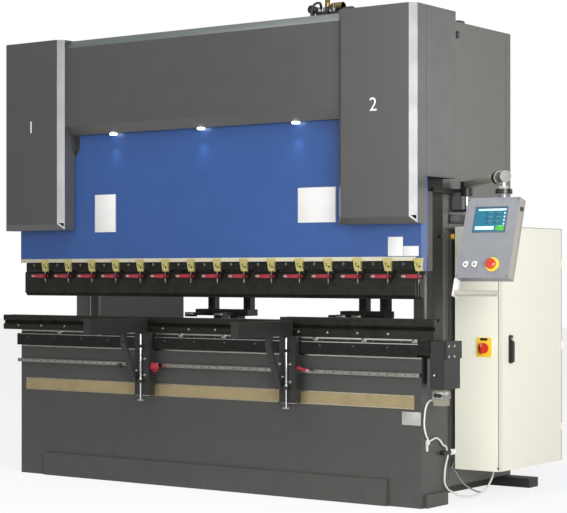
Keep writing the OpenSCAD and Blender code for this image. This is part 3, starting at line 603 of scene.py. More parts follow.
class Shop:
    """All finishes of the press brake, made once and kept by name."""

    finishes: tuple[Any, ...] = (
        Paint("frame_grey", srgb(60, 60, 57), dust=0.25),
        Paint("cover_grey", srgb(56, 56, 55), rough=0.33, tone=0.04, gloss=1.0),
        # Cover grey made lighter: painted light for the stronger light on the right-facing side covers.
        Paint("side_grey", srgb(72, 72, 67), rough=0.36, gloss=1.0),
        Paint("bed_grey", srgb(56, 56, 54), rough=0.4, tone=0.08, dust=0.2),
        Paint("ram_blue", srgb(37, 70, 125), rough=0.33, tone=0.07, coat=0.25),
        Paint("black_paint", srgb(28, 28, 27), rough=0.45, tone=0.1),
        Paint("cream", srgb(221, 220, 206), rough=0.5, tone=0.015, skin=0.7, dust=0.05),
        Paint("arm_grey", srgb(150, 148, 136), rough=0.32, tone=0.04),
        Paint("pipe_black", srgb(20, 20, 19), rough=0.35),
        Metal("table_black", srgb(31, 31, 29), rough=0.35, metallic=0.6, oil=0.3),
        Metal("tool_steel", srgb(46, 45, 40), rough=0.34, metallic=0.7, oil=0.25),
        Metal("ground_steel", srgb(169, 168, 159), rough=0.28, oil=0.08),
        Metal("bright_screw", srgb(167, 167, 163), rough=0.25, stretch=(60, 60, 60)),
        Metal("dark_screw", srgb(46, 46, 44), rough=0.35, stretch=(60, 60, 60), metallic=0.7),
        Metal("strip_tan", srgb(153, 138, 103), rough=0.42, metallic=0.5, strength=0.25, oil=0.12),
        Metal("chrome", srgb(201, 201, 201), rough=0.08, strength=0.05, oil=0.0),
        Metal("wedge_yellow", srgb(187, 177, 115), rough=0.36, metallic=0.55, strength=0.2, stretch=(90, 90, 90)),
        Metal("panel_silver", srgb(132, 134, 139), rough=0.36, metallic=0.35, strength=0.08, stretch=(4, 4, 500)),
        Metal("gold_fitting", srgb(128, 106, 58), rough=0.3, stretch=(80, 80, 80)),
        Metal("valve_grey", srgb(94, 94, 93), rough=0.4, stretch=(60, 60, 60)),
        Plastic("grip_red", srgb(140, 26, 43)),
        Plastic("grip_tip", srgb(150, 112, 112)),
        Plastic("handle_black", srgb(22, 22, 22), rough=0.5, coat=0.0),
        Plastic("switch_yellow", srgb(236, 192, 52)),
        Plastic("switch_red", srgb(178, 44, 20)),
        Plastic("button_white", srgb(188, 188, 187)),
        Plastic("label_white", srgb(203, 203, 201), rough=0.4),
        Plastic("label_black", srgb(18, 18, 18), rough=0.4),
        Plastic("cable_white", srgb(192, 190, 185), rough=0.45, coat=0.1),
        Plastic("cable_grey", srgb(119, 119, 117), rough=0.45, coat=0.1),
        Plastic("screen_glass", srgb(26, 92, 112), rough=0.12, glow=0.35),
        Plastic("screen_pale", srgb(175, 196, 205), rough=0.12, glow=0.35),
        Plastic("screen_green", srgb(58, 145, 50), rough=0.12, glow=0.35),
        Plastic("screen_deep", srgb(22, 78, 98), rough=0.12, glow=0.3),
        Plastic("lamp_lens", srgb(245, 248, 255), rough=0.1, glow=4.0),
        Plastic("rubber_black", srgb(19, 19, 19), rough=0.7, coat=0.0),
        Plastic("grip_dark", srgb(86, 15, 25)),
        Plastic("seam_dark", srgb(96, 94, 86), rough=0.6, coat=0.0),
        Plastic("rim_grey", srgb(65, 80, 91), rough=0.4, coat=0.0),
        Paint("strip_ivory", srgb(172, 168, 148), rough=0.45, tone=0.05),
        Paint("bevel_grey", srgb(70, 78, 76), rough=0.4, tone=0.03, gloss=0.8),
        # Darker copy of the cabinet cream: painted shade that offsets the strong light on the right-facing door.
        Paint("cream_door_painted_shade", srgb(204, 202, 189), rough=0.5, tone=0.015, skin=0.7, dust=0.05),
        Paint("box_beige", srgb(122, 119, 106), rough=0.5, tone=0.03),
        Paint("arm_black", srgb(26, 26, 25), rough=0.5, tone=0.06),
        Paint("cap_grey", srgb(84, 85, 82), rough=0.35, tone=0.04),
        Paint("panel_side", srgb(139, 133, 125), rough=0.45, tone=0.03),
        Metal("plate_grey", srgb(176, 176, 172), rough=0.4, metallic=0.6, strength=0.15),
    )

    def __init__(self) -> None:
        """Makes the node groups and every material."""
        groups = Groups()
        self.made: dict[str, Any] = {f.name: f.material(groups) for f in self.finishes}
        LOG.info("materials: %d", len(self.made))

    def dress(self, node: str, name: str) -> None:
        """Gives a CAD node one of the finishes."""
        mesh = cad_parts[node].data
        mesh.materials.clear()
        mesh.materials.append(self.made[name])

    def piece(self, name: str, shape: Shape, finish: str, body: str, angle: float = 35.0) -> Any:
        """Turns a shape into one object of the scene.

        Args:
            name: name of the piece.
            shape: its points and faces.
            finish: name of its material.
            body: CAD body that it rides on.
            angle: edges sharper than this many degrees stay sharp.

        Returns:
            The new object.
        """
        mesh = bpy.data.meshes.new(name)
        mesh.from_pydata(shape.points.tolist(), [], shape.faces)
        mesh.materials.append(self.made[finish])
        mesh.polygons.foreach_set("use_smooth", np.ones(len(mesh.polygons), bool))
        mesh.set_sharp_from_angle(angle=math.radians(angle))
        mesh.update()
        made = bpy.data.objects.new(name, mesh)
        bpy.context.scene.collection.objects.link(made)
        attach(made, body)
        LOG.info("piece %s: %d faces", name, len(mesh.polygons))
        return made

    def number(self, name: str, text: str, height: float, place: Sequence[float], body: str) -> Any:
        """Raised plain number that faces the operator.

        Args:
            name: name of the piece.
            text: the number.
            height: height of the figure.
            place: middle of its foot, on the face that carries it.
            body: CAD body that it rides on.

        Returns:
            The new object.
        """
        curve = bpy.data.curves.new(name, "FONT")
        curve.body = text
        curve.size = height * 1.4
        curve.extrude = 0.0006
        curve.align_x = "CENTER"
        holder = bpy.data.objects.new(name + "_draft", curve)
        bpy.context.scene.collection.objects.link(holder)
        graph = bpy.context.evaluated_depsgraph_get()
        mesh = bpy.data.meshes.new_from_object(holder.evaluated_get(graph))
        bpy.data.objects.remove(holder)
        count = len(mesh.vertices)
        flat = np.zeros(count * 3)
        mesh.vertices.foreach_get("co", flat)
        p = flat.reshape(-1, 3)
        stood = np.stack([p[:, 0], -p[:, 2], p[:, 1]], 1) + np.array(place)
        mesh.vertices.foreach_set("co", stood.ravel())
        mesh.materials.clear()
        mesh.materials.append(self.made["label_white"])
        mesh.update()
        mesh.name = name
        made = bpy.data.objects.new(name, mesh)
        bpy.context.scene.collection.objects.link(made)
        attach(made, body)
        return made


# ---------------------------------------------------------------- sub-assemblies


@dataclass
class Studio:
    """Camera, lamps, floor and backdrop."""

    camera_place: tuple[float, float, float] = (6.5669, -8.3358, 1.3194)
    camera_turn: float = 35.709
    lens: float = 109.56
    shift: float = 0.0303

    def camera(self) -> None:
        """Level camera at the photograph's viewing angle."""
        data = bpy.data.cameras.new("camera")
        data.lens = self.lens
        data.sensor_width = 36.0
        data.shift_y = self.shift
        data.clip_end = 60.0
        made = bpy.data.objects.new("camera", data)
        made.location = self.camera_place
        made.rotation_euler = (math.radians(90), 0, math.radians(self.camera_turn))
        bpy.context.scene.collection.objects.link(made)
        bpy.context.scene.camera = made

    def lamp(self, name: str, place: Sequence[float], aim: Sequence[float], size: float, power: float) -> None:
        """Square soft lamp.

        Args:
            name: name of the lamp.
            place: where it hangs.
            aim: point that it faces.
            size: side of its square.
            power: watts.
        """
        data = bpy.data.lights.new(name, "AREA")
        data.shape = "SQUARE"
        data.size = size
        data.energy = power
        made = bpy.data.objects.new(name, data)
        turn = turn_to(np.array(place, float) - np.array(aim, float))
        made.location = place
        made.rotation_euler = Matrix(turn.tolist()).to_euler()
        bpy.context.scene.collection.objects.link(made)

    def lamps(self) -> None:
        """Soft light, strongest from the front right as in the photograph."""
        self.lamp("key_lamp", (7.6, -5.4, 2.4), (0.6, 0.0, 1.4), 4.0, 860)
        self.lamp("front_lamp", (-1.0, -8.0, 3.0), (-0.2, 0.0, 1.3), 4.0, 80)
        self.lamp("rear_lamp", (6.4, 6.2, 2.4), (1.4, 0.6, 1.6), 4.0, 70)
        self.lamp("top_lamp", (0.5, -2.0, 6.5), (0.2, 0.2, 1.0), 4.5, 220)
        a, b = low("header_lamps"), high("header_lamps")
        for number, x in enumerate((a[0] + 0.022, 0.0, b[0] - 0.022)):
            self.spot(f"own_lamp_{number}", (x, (a[1] + b[1]) / 2 - 0.02, a[2] - 0.08))

    def spot(self, name: str, place: Sequence[float]) -> None:
        """One of the machine's own spot lamps, which shines down on the ram.

        Args:
            name: name of the lamp.
            place: where it hangs.
        """
        data = bpy.data.lights.new(name, "SPOT")
        data.energy = 0.32
        data.spot_size = math.radians(84)
        data.spot_blend = 1.0
        data.shadow_soft_size = 0.03
        made = bpy.data.objects.new(name, data)
        made.location = place
        made.rotation_euler = (math.radians(38), 0, 0)
        bpy.context.scene.collection.objects.link(made)

    def world(self) -> None:
        """Even pale surroundings that show white behind the object."""
        world = bpy.data.worlds.new("world")
        bpy.context.scene.world = world
        world.use_nodes = True
        g = Graph(world.node_tree)
        world.node_tree.nodes.clear()
        light = g.node("ShaderNodeBackground")
        light.inputs["Color"].default_value = (1.0, 1.0, 1.0, 1.0)
        light.inputs["Strength"].default_value = 0.42
        white = g.node("ShaderNodeBackground")
        white.inputs["Color"].default_value = (1.0, 1.0, 1.0, 1.0)
        white.inputs["Strength"].default_value = 1.0
        path = g.node("ShaderNodeLightPath")
        seen = g.math("MAXIMUM", path.outputs["Is Camera Ray"], path.outputs["Is Transmission Ray"])
        mix = g.node("ShaderNodeMixShader")
        g.feed(mix.inputs[0], seen)
        g.feed(mix.inputs[1], light.outputs[0])
        g.feed(mix.inputs[2], white.outputs[0])
        out = g.node("ShaderNodeOutputWorld")
        g.feed(out.inputs["Surface"], mix.outputs[0])

    def floor(self) -> None:
        """Pale floor that keeps a faint shadow of the object."""
        mesh = bpy.data.meshes.new("floor")
        far = 30.0
        mesh.from_pydata([(-far, -far, 0), (far, -far, 0), (far, far, 0), (-far, far, 0)], [], [(0, 1, 2, 3)])
        made = bpy.data.objects.new("floor", mesh)
        made.location = (0, 0, -0.0005)
        bpy.context.scene.collection.objects.link(made)
        material, g, shader = new_material("floor_white")
        shader.inputs["Base Color"].default_value = (0.85, 0.85, 0.85, 1.0)
        shader.inputs["Roughness"].default_value = 0.9
        shader.inputs["Specular IOR Level"].default_value = 0.0
        glow = g.node("ShaderNodeEmission")
        glow.inputs["Strength"].default_value = 1.0
        path = g.node("ShaderNodeLightPath")
        seen = g.math("MULTIPLY", path.outputs["Is Camera Ray"], 0.8)
        mix = g.node("ShaderNodeMixShader")
        g.feed(mix.inputs[0], seen)
        g.feed(mix.inputs[1], shader.outputs[0])
        g.feed(mix.inputs[2], glow.outputs[0])
        g.feed(material.node_tree.nodes["Material Output"].inputs["Surface"], mix.outputs[0])
        mesh.materials.append(material)

    def build(self) -> None:
        """Sets the whole studio."""
        bpy.context.scene.view_settings.view_transform = "Standard"
        self.camera()
        self.lamps()
        self.world()
        self.floor()


@dataclass
class Skins:
    """Finish of every CAD node."""

    finishes: tuple[tuple[str, str], ...] = (
        ("frame_grey", "side_frames oil_tank gauge_rails gauge_beam ram_strip"),
        # Side covers take a lighter copy of the cover grey, which paints in the stronger light from the right.
        ("side_grey", "side_covers"),
        ("bed_grey", "bed_box toe_plates"),
        ("cover_grey", "cylinder_covers header"),
        ("table_black", "bed_table tool_clamps"),
        ("tool_steel", "die_holder dies punch"),
        ("ground_steel", "support_rail"),
        ("strip_tan", "guide_strip"),
        ("ram_blue", "ram"),
        ("black_paint", "cylinders hydraulic_unit rear_feet side_bracket arm_bracket left_finger right_finger"),
        ("arm_black", "left_front_arm right_front_arm"),
        ("chrome", "piston_rods left_arm_screw right_arm_screw"),
        ("lamp_lens", "header_lamps"),
        ("wedge_yellow", "clamp_wedges"),
        ("grip_red", "clamp_levers left_arm_knob right_arm_knob"),
        ("cream", "cabinet_body"),
        # The door takes the darker copy of the cabinet cream, a painted shade against the strong right light.
        ("cream_door_painted_shade", "cabinet_door"),
        ("box_beige", "junction_box"),
        ("handle_black", "door_handle cable_plug"),
        ("cable_white", "white_cable branch_cable loop_cable"),
        ("cable_grey", "grey_cable"),
        ("switch_yellow", "switch_plate stop_ring"),
        ("switch_red", "switch_knob stop_button"),
        ("panel_silver", "panel_case"),
        ("screen_glass", "panel_screen"),
        ("arm_grey", "panel_arm panel_handle"),
        ("button_white", "left_button right_button"),
    )

    def dress(self, shop: Shop) -> None:
        """Gives each CAD node its finish."""
        for finish, nodes in self.finishes:
            for node in nodes.split():
                shop.dress(node, finish)


@dataclass
class BedDetails:
    """Screws, bright edges and plates of the bed, the table and the die holder."""

    rail_hole_pitch: float = 0.061

    def holder(self, shop: Shop) -> None:
        """Bright edge and screws on the die holder's front."""
        a, b = low("die_holder"), high("die_holder")
        edge = slab((a[0], a[1] - 0.0005, b[2] - 0.009), (b[0], a[1] + 0.007, b[2] + 0.0006), 0.0008)
        shop.piece("holder_edge", edge, "ground_steel", "base")
        x = -1.175 + 0.3375 * np.arange(9)
        keys = joined(slab((v - 0.018, a[1] - 0.006, a[2] + 0.004), (v + 0.018, a[1] + 0.001, b[2] + 0.001), 0.002)
                      for v in x)
        shop.piece("holder_keys", keys, "bright_screw", "base")
        front = low("dies")[1]
        x = -1.352 + 0.2069 * np.arange(-1, 14)
        heads = bolt_head(0.0075, 0.005).scattered([(v, front, 0.977) for v in x], Axis.FRONT)
        shop.piece("die_screws", heads, "bright_screw", "base")
        x = np.arange(-1.42, 1.45, 0.178)
        heads = bolt_head(0.005, 0.003).scattered([(v, a[1], a[2] + 0.007) for v in x], Axis.FRONT)
        shop.piece("holder_screws", heads, "valve_grey", "base")

    def table(self, shop: Shop) -> None:
        """Screws and the two bright edges of the table bar."""
        a, b = low("bed_table"), high("bed_table")
        top = high("die_holder")[2] - 0.024
        seam = slab((-1.55, a[1] - 0.0006, top - 0.005), (1.55, a[1] + 0.004, top + 0.0004), 0.0006)
        shop.piece("table_edge", seam, "bright_screw", "base")
        x = [v for v in np.arange(-1.446, 1.45, 0.233)]
        heads = bolt_head(0.007, 0.004, 16).scattered([(v, a[1], top - 0.024) for v in x], Axis.FRONT)
        shop.piece("table_screws", heads, "valve_grey", "base")
        front = low("bed_box")[1]
        rim = slab((-1.55, front - 0.0008, 0.8395), (1.55, front + 0.003, 0.8506), 0.0006)
        shop.piece("bed_edge", rim, "ground_steel", "base")
        ends = hex_head(0.011, 0.008).scattered(
            [(b[0], y, z) for y in (-0.04, 0.03) for z in (0.885, 0.925)], Axis.RIGHT)
        shop.piece("table_end_screws", ends, "dark_screw", "base")

    def rail(self, shop: Shop) -> None:
        """Holes, round cap and upper edge of the support rail, and a bright slab on its front that is a painted
        highlight.
        """
        a, b = low("support_rail"), high("support_rail")
        x = np.arange(a[0] + 0.03, b[0] - 0.02, self.rail_hole_pitch)
        z = (a[2] + b[2]) / 2
        rim = lathe([(0.0042, 0), (0.0042, 0.0008), (0.0036, 0.0012), (0.0030, 0.0004)], 10)
        shop.piece("rail_holes", rim.scattered([(v, a[1], z) for v in x], Axis.FRONT), "label_black", "base")
        groove = joined(slab((a[0], a[1] - 0.0006, z + d), (b[0], a[1] + 0.0002, z + d + 0.0012), 0.0003)
                        for d in (-0.0085, 0.0073))
        shop.piece("rail_grooves", groove, "valve_grey", "base")
        # Bright slab along the rail's front face: a painted highlight.
        rod = slab((a[0] + 0.002, a[1] - 0.0002, z - 0.001), (a[0] + 0.888, a[1] + 0.003, z + 0.0092), 0.0001)
        shop.piece("rail_painted_highlight", rod, "bright_screw", "base")
        cap = lathe([(0.012, 0), (0.016, 0.002), (0.016, 0.012), (0.011, 0.017), (0.003, 0.019)], 24)
        shop.piece("rail_cap", cap.scattered([(-0.665, a[1], z - 0.012)], Axis.FRONT), "label_black", "base")

    def strip(self, shop: Shop) -> None:
        """Lower groove and screws of the guide strip."""
        a, b = low("guide_strip"), high("guide_strip")
        lips = joined(slab((a[0], a[1] - 0.001, z), (b[0], a[1] + 0.001, z + 0.004), 0.0005)
                      for z in (a[2] + 0.002, b[2] - 0.006))
        shop.piece("strip_lips", lips, "ground_steel", "base")
        x = np.linspace(a[0] + 0.12, b[0] - 0.12, 9)
        heads = lathe([(0.006, 0), (0.006, 0.0012), (0.0045, 0.0018)], 12)
        z = (a[2] + b[2]) / 2
        shop.piece("strip_screws", heads.scattered([(v, a[1], z) for v in x], Axis.FRONT), "strip_tan", "base")

    def plate(self, shop: Shop) -> None:
        """Bare metal plate near the right end of the bed, with its rivets."""
        y = low("bed_box")[1]
        shop.piece("bed_plate", slab((1.421, y - 0.0015, 0.466), (1.545, y + 0.0005, 0.541), 0.0008),
                   "plate_grey", "base")
        dots = lathe([(0.0024, 0), (0.0022, 0.0009), (0.0012, 0.0014)], 10)
        corners = [(x, y - 0.0015, z) for x in (1.4245, 1.5415) for z in (0.4695, 0.5375)]
        shop.piece("bed_plate_rivets", dots.scattered(corners, Axis.FRONT), "bright_screw", "base")

    def build(self, shop: Shop) -> None:
        """Builds every piece of the bed."""
        self.holder(shop)
        self.table(shop)
        self.rail(shop)
        self.strip(shop)
        self.plate(shop)


@dataclass
class RamDetails:
    """Nuts, springs and plates that move with the ram."""

    count: int = 15

    def wedge_places(self) -> Array:
        """Middle of each wedge along the ram."""
        a, b = low("clamp_wedges"), high("clamp_wedges")
        return np.linspace(a[0] + 0.027, b[0] - 0.029, self.count)

    def nuts(self, shop: Shop) -> None:
        """Small four-sided nut on the upper middle of each clamp."""
        x = self.wedge_places() - 0.102
        y = low("tool_clamps")[1]
        nut = lathe([(0.013, 0), (0.0125, 0.004), (0.007, 0.007)], 4)
        shop.piece("clamp_nuts", nut.scattered([(v, y, 1.374) for v in x], Axis.FRONT), "valve_grey", "ram", 20)
        pins = lathe([(0.005, 0), (0.005, 0.003), (0.004, 0.004)], 12)
        side = [(v + d, y, 1.352) for v in x for d in (-0.05, 0.05)]
        shop.piece("clamp_pins", pins.scattered(side, Axis.FRONT), "dark_screw", "ram")

    def wedges(self, shop: Shop) -> None:
        """Screw on each wedge and the sleeve on its spring rod."""
        x = self.wedge_places()
        y = low("clamp_wedges")[1]
        shop.piece("wedge_screws", bolt_head(0.0055, 0.004).scattered([(v + 0.01, y, 1.36) for v in x], Axis.FRONT),
                   "dark_screw", "ram")
        sleeve = lathe([(0.0043, 0), (0.0044, 0.011), (0.0064, 0.012), (0.0064, 0.023), (0.0044, 0.025), (0.0043, 0.067)], 16)
        shop.piece("spring_sleeves", sleeve.scattered([(v, -0.042, 1.2655) for v in x], Axis.UP),
                   "valve_grey", "ram")
        a = low("ram_strip")
        strip = slab((a[0], -0.0358, 1.392), (1.5155, -0.0345, 1.4155), 0.0005)
        shop.piece("strip_front", strip, "strip_ivory", "ram")

    def levers(self, shop: Shop) -> None:
        """Pale tip and dark end ring of each clamp lever."""
        x = self.wedge_places()
        y = -0.064
        z = 1.304
        tip = lathe([(0.0078, 0), (0.0087, 0.003), (0.0087, 0.024), (0.0070, 0.0312), (0.0030, 0.0325)], 16)
        shop.piece("lever_tips", tip.scattered([(v - 0.067, y, z) for v in x], Axis.LEFT), "grip_tip", "ram")
        ring = lathe([(0.0142, 0), (0.0148, 0.002), (0.0148, 0.008), (0.0142, 0.010)], 20)
        shop.piece("lever_rings", ring.scattered([(v + 0.010, y, z) for v in x], Axis.RIGHT), "grip_dark", "ram")
        cap = lathe([(0.0138, 0), (0.0120, 0.0035), (0.005, 0.005)], 20)
        shop.piece("lever_caps", cap.scattered([(v + 0.0195, y, z) for v in x], Axis.RIGHT), "grip_dark", "ram")

    def plates(self, shop: Shop) -> None:
        """Bare white plates on the ram's front."""
        y = low("ram")[1]
        rows = ((-0.892, 1.585, -0.714, 1.825), (0.705, 1.619, 0.975, 1.824), (1.331, 1.419, 1.43, 1.528),
                (1.432, 1.419, 1.534, 1.475))
        made = joined(slab((a, y - 0.0012, b), (c, y + 0.0004, d), 0.0006) for a, b, c, d in rows)
        shop.piece("ram_plates", made, "label_white", "ram")
        seams = joined(slab((c - 0.004, y - 0.0016, b + 0.004), (c - 0.002, y - 0.001, d - 0.004), 0.0002)
                       for a, b, c, d in rows[:2])
        shop.piece("ram_plate_seams", seams, "valve_grey", "ram")

    def rule(self, shop: Shop) -> None:
        """Pale bars that paint a highlight on the punch's right end face, and seams along the punch."""
        y = low("punch")[1]
        # Pale bars on the punch's right end: a painted highlight of its end face.
        bars = joined(slab((x, y - 0.004, 1.185), (x + 0.006, y + 0.001, 1.30), 0.001) for x in (1.505, 1.522))
        shop.piece("punch_end_highlights", bars, "valve_grey", "ram")
        seams = joined(slab((x, y - 0.0004, 1.198), (x + 0.0016, y + 0.0006, 1.324), 0.0003)
                       for x in np.arange(-1.1, 1.5, 0.415))
        shop.piece("punch_seams", seams, "label_black", "ram")

    def build(self, shop: Shop) -> None:
        """Builds every piece of the ram."""
        self.nuts(shop)
        self.wedges(shop)
        self.levers(shop)
        self.plates(shop)
        self.rule(shop)


@dataclass
class CoverDetails:
    """Numbers, seams and a knob of the covers, the fascia and its lamps."""

    def covers(self, shop: Shop) -> None:
        """Plain numbers on the cylinder covers."""
        a, b = low("cylinder_covers"), high("cylinder_covers")
        shop.number("left_number", "1", 0.078, (-1.328, a[1] - 0.0002, 2.235), "base")
        shop.number("right_number", "2", 0.078, (1.317, a[1] - 0.0002, 2.235), "base")

    def sides(self, shop: Shop) -> None:
        """Door seams, a latch, a knob and throat edges on the side covers."""
        x = high("side_covers")[0]
        seam = joined([
            slab((x - 0.0004, 0.52, 0.1), (x + 0.0006, 0.523, 2.75), 0.0003),
            slab((x - 0.0004, 1.23, 0.1), (x + 0.0006, 1.233, 2.75), 0.0003),
            slab((x - 0.0004, 0.52, 1.76), (x + 0.0006, 1.233, 1.763), 0.0003),
        ])
        shop.piece("side_seams", seam, "label_black", "base")
        latch = slab((x - 0.0004, 0.606, 2.722), (x + 0.010, 0.636, 2.764), 0.003)
        eye = slab((x - 0.03, 0.655, high("side_covers")[2] - 0.001), (x - 0.002, 0.72, high("side_covers")[2] + 0.014), 0.004)
        shop.piece("side_latches", joined([latch, eye]), "label_black", "base")
        knob = lathe([(0.009, 0), (0.009, 0.008), (0.011, 0.011), (0.011, 0.016), (0.008, 0.019)], 20)
        shop.piece("cover_knob", knob.scattered([(1.393, 0.455, 1.538)], Axis.FRONT), "valve_grey", "base")
        edge = joined(slab((v, 0.3985, 1.025), (v + 0.09, 0.4006, 1.755), 0.0005) for v in (-1.326, 1.236))
        shop.piece("throat_edges", edge, "plate_grey", "base")

    def lamps(self, shop: Shop) -> None:
        """Ring around each spot lamp that glows in the lens material, a painted halo."""
        a, b = low("header_lamps"), high("header_lamps")
        ring = lathe([(0.0222, 0), (0.0238, 0.001), (0.0245, 0.006), (0.0242, 0.011), (0.0225, 0.012)], 32)
        x = (a[0] + 0.022, 0.0, b[0] - 0.022)
        places = [(v, (a[1] + b[1]) / 2, a[2] - 0.0003) for v in x]
        # The rings glow in the lens material: a painted halo around each lamp.
        shop.piece("lamp_glow_rings", ring.scattered(places, Axis.UP), "lamp_lens", "base")

    def header(self, shop: Shop) -> None:
        """A bevel plate along the fascia's upper front edge."""
        a, b = low("header"), high("header")
        tilt = math.radians(45)
        turn = np.array([[1, 0, 0], [0, math.cos(tilt), -math.sin(tilt)], [0, math.sin(tilt), math.cos(tilt)]])
        plate = slab((a[0] + 0.001, -0.036, 0.0), (b[0] - 0.001, 0.036, 0.0008), 0.0003).turned(turn)
        shop.piece("fascia_bevel", plate.moved((0, a[1] + 0.026, b[2] - 0.026)), "bevel_grey", "base")

    def build(self, shop: Shop) -> None:
        """Builds every piece of the covers."""
        self.covers(shop)
        self.sides(shop)
        self.lamps(shop)
        self.header(shop)


@dataclass
class HydraulicDetails:
    """Hoses, nuts and fins of the hydraulic unit on the oil tank."""

    def valves(self, shop: Shop) -> None:
        """Valve heads, fittings and hoses above the fascia."""
        y = 0.52
        nut = lathe([(0.016, 0), (0.016, 0.018), (0.013, 0.020), (0.013, 0.03)], 6)
        tops = [(0.485, y - 0.01, 2.945), (0.515, y + 0.01, 2.945), (0.60, y - 0.02, 2.94), (0.635, y + 0.015, 2.94)]
        shop.piece("valve_nuts", nut.scattered(tops, Axis.UP), "bright_screw", "base")
        bands = lathe([(0.0298, 0), (0.0306, 0.002), (0.0306, 0.008), (0.0298, 0.010)], 24)
        rings = [(0.575 + 0.018 * k, y, 2.966) for k in range(1, 5)]
        shop.piece("solenoid_bands", bands.scattered(rings, Axis.RIGHT), "gold_fitting", "base")
        low_rings = [(0.662 + 0.013 * k, y, 2.935) for k in range(5)]
        fins = lathe([(0.0285, 0), (0.0292, 0.001), (0.0292, 0.005), (0.0285, 0.006)], 24)
        shop.piece("coil_fins", fins.scattered(low_rings, Axis.RIGHT), "pipe_black", "base")
        cap = lathe([(0.0142, 0), (0.0155, 0.004), (0.0155, 0.05), (0.012, 0.06)], 24)
        shop.piece("relief_cap", cap.scattered([(0.538, y, 2.972)], Axis.UP), "gold_fitting", "base")
        face = lathe([(0.0242, 0), (0.0262, 0.002), (0.0262, 0.010), (0.0235, 0.012), (0.0230, 0.009)], 32)
        shop.piece("gauge_bezel", face.scattered([(0.43, 0.5055, 2.966)], Axis.FRONT), "label_black", "base")
        hose = tube(smooth_path([(0.50, y - 0.01, 2.965), (0.50, 0.49, 2.998), (0.475, 0.47, 2.99), (0.46, 0.46, 2.95),
                                 (0.46, 0.462, 2.90), (0.47, 0.47, 2.86)], 30), 0.008, 12)
        shop.piece("gauge_hose", hose, "pipe_black", "base")

    def pipes(self, shop: Shop) -> None:
        """Steel pipes from the valve block to both cylinders, behind the fascia."""
        runs = []
        for side in (-1, 1):
            runs.append(tube(smooth_path([
                (0.6 + 0.06 * side, 0.52, 2.895), (0.6 + 0.1 * side, 0.46, 2.87), (0.6 + 0.2 * side, 0.40, 2.80),
                (0.85 * side + 0.1, 0.33, 2.74), (1.1 * side, 0.26, 2.70), (1.2 * side, 0.15, 2.69),
                (1.3 * side, 0.06, 2.675)], 48), 0.014, 12))
        shop.piece("cylinder_pipes", joined(runs), "bright_screw", "base")
        flange = lathe([(0.03, 0), (0.03, 0.02), (0.024, 0.024), (0.018, 0.03)], 24)
        tops = [(-1.3, 0.055, 2.669), (1.3, 0.055, 2.669)]
        shop.piece("pipe_flanges", flange.scattered(tops, Axis.UP), "valve_grey", "base")

    def motor(self, shop: Shop) -> None:
        """Cooling fins, terminal box and cap screws of the pump motor."""
        x, y = -0.24, 0.69
        rows: list[tuple[float, float]] = []
        z0 = 2.748
        for k in range(9):
            z = z0 + 0.0145 * k
            rows += [(0.1002, z), (0.108, z + 0.001), (0.108, z + 0.005), (0.1002, z + 0.006)]
        shop.piece("motor_fins", lathe(rows, 40).moved((x, y, 0)), "black_paint", "base")
        box = slab((x - 0.05, y - 0.15, 2.76), (x + 0.05, y - 0.098, 2.85), 0.006)
        shop.piece("motor_box", box, "black_paint", "base")
        cap = bolt_head(0.012, 0.01, 16)
        ring = [(x + 0.07 * math.cos(t), y + 0.07 * math.sin(t), 2.912) for t in np.arange(6) * math.pi / 3]
        shop.piece("motor_screws", cap.scattered(ring, Axis.UP), "dark_screw", "base")

    def tank(self, shop: Shop) -> None:
        """Filler cap and sight glass of the tank."""
        cap = lathe([(0.046, 0), (0.05, 0.004), (0.05, 0.016), (0.045, 0.02), (0.012, 0.022), (0.012, 0.03)], 32)
        shop.piece("filler_cap", cap.scattered([(-0.9, 0.62, 2.709)], Axis.UP), "pipe_black", "base")
        back = high("oil_tank")[1]
        glass = joined([slab((0.30, back - 0.031, 2.38), (0.34, back - 0.022, 2.52), 0.004)])
        shop.piece("sight_glass", glass, "gold_fitting", "base")

    def build(self, shop: Shop) -> None:
        """Builds every piece of the hydraulics."""
        self.valves(shop)
        self.pipes(shop)
        self.motor(shop)
        self.tank(shop)


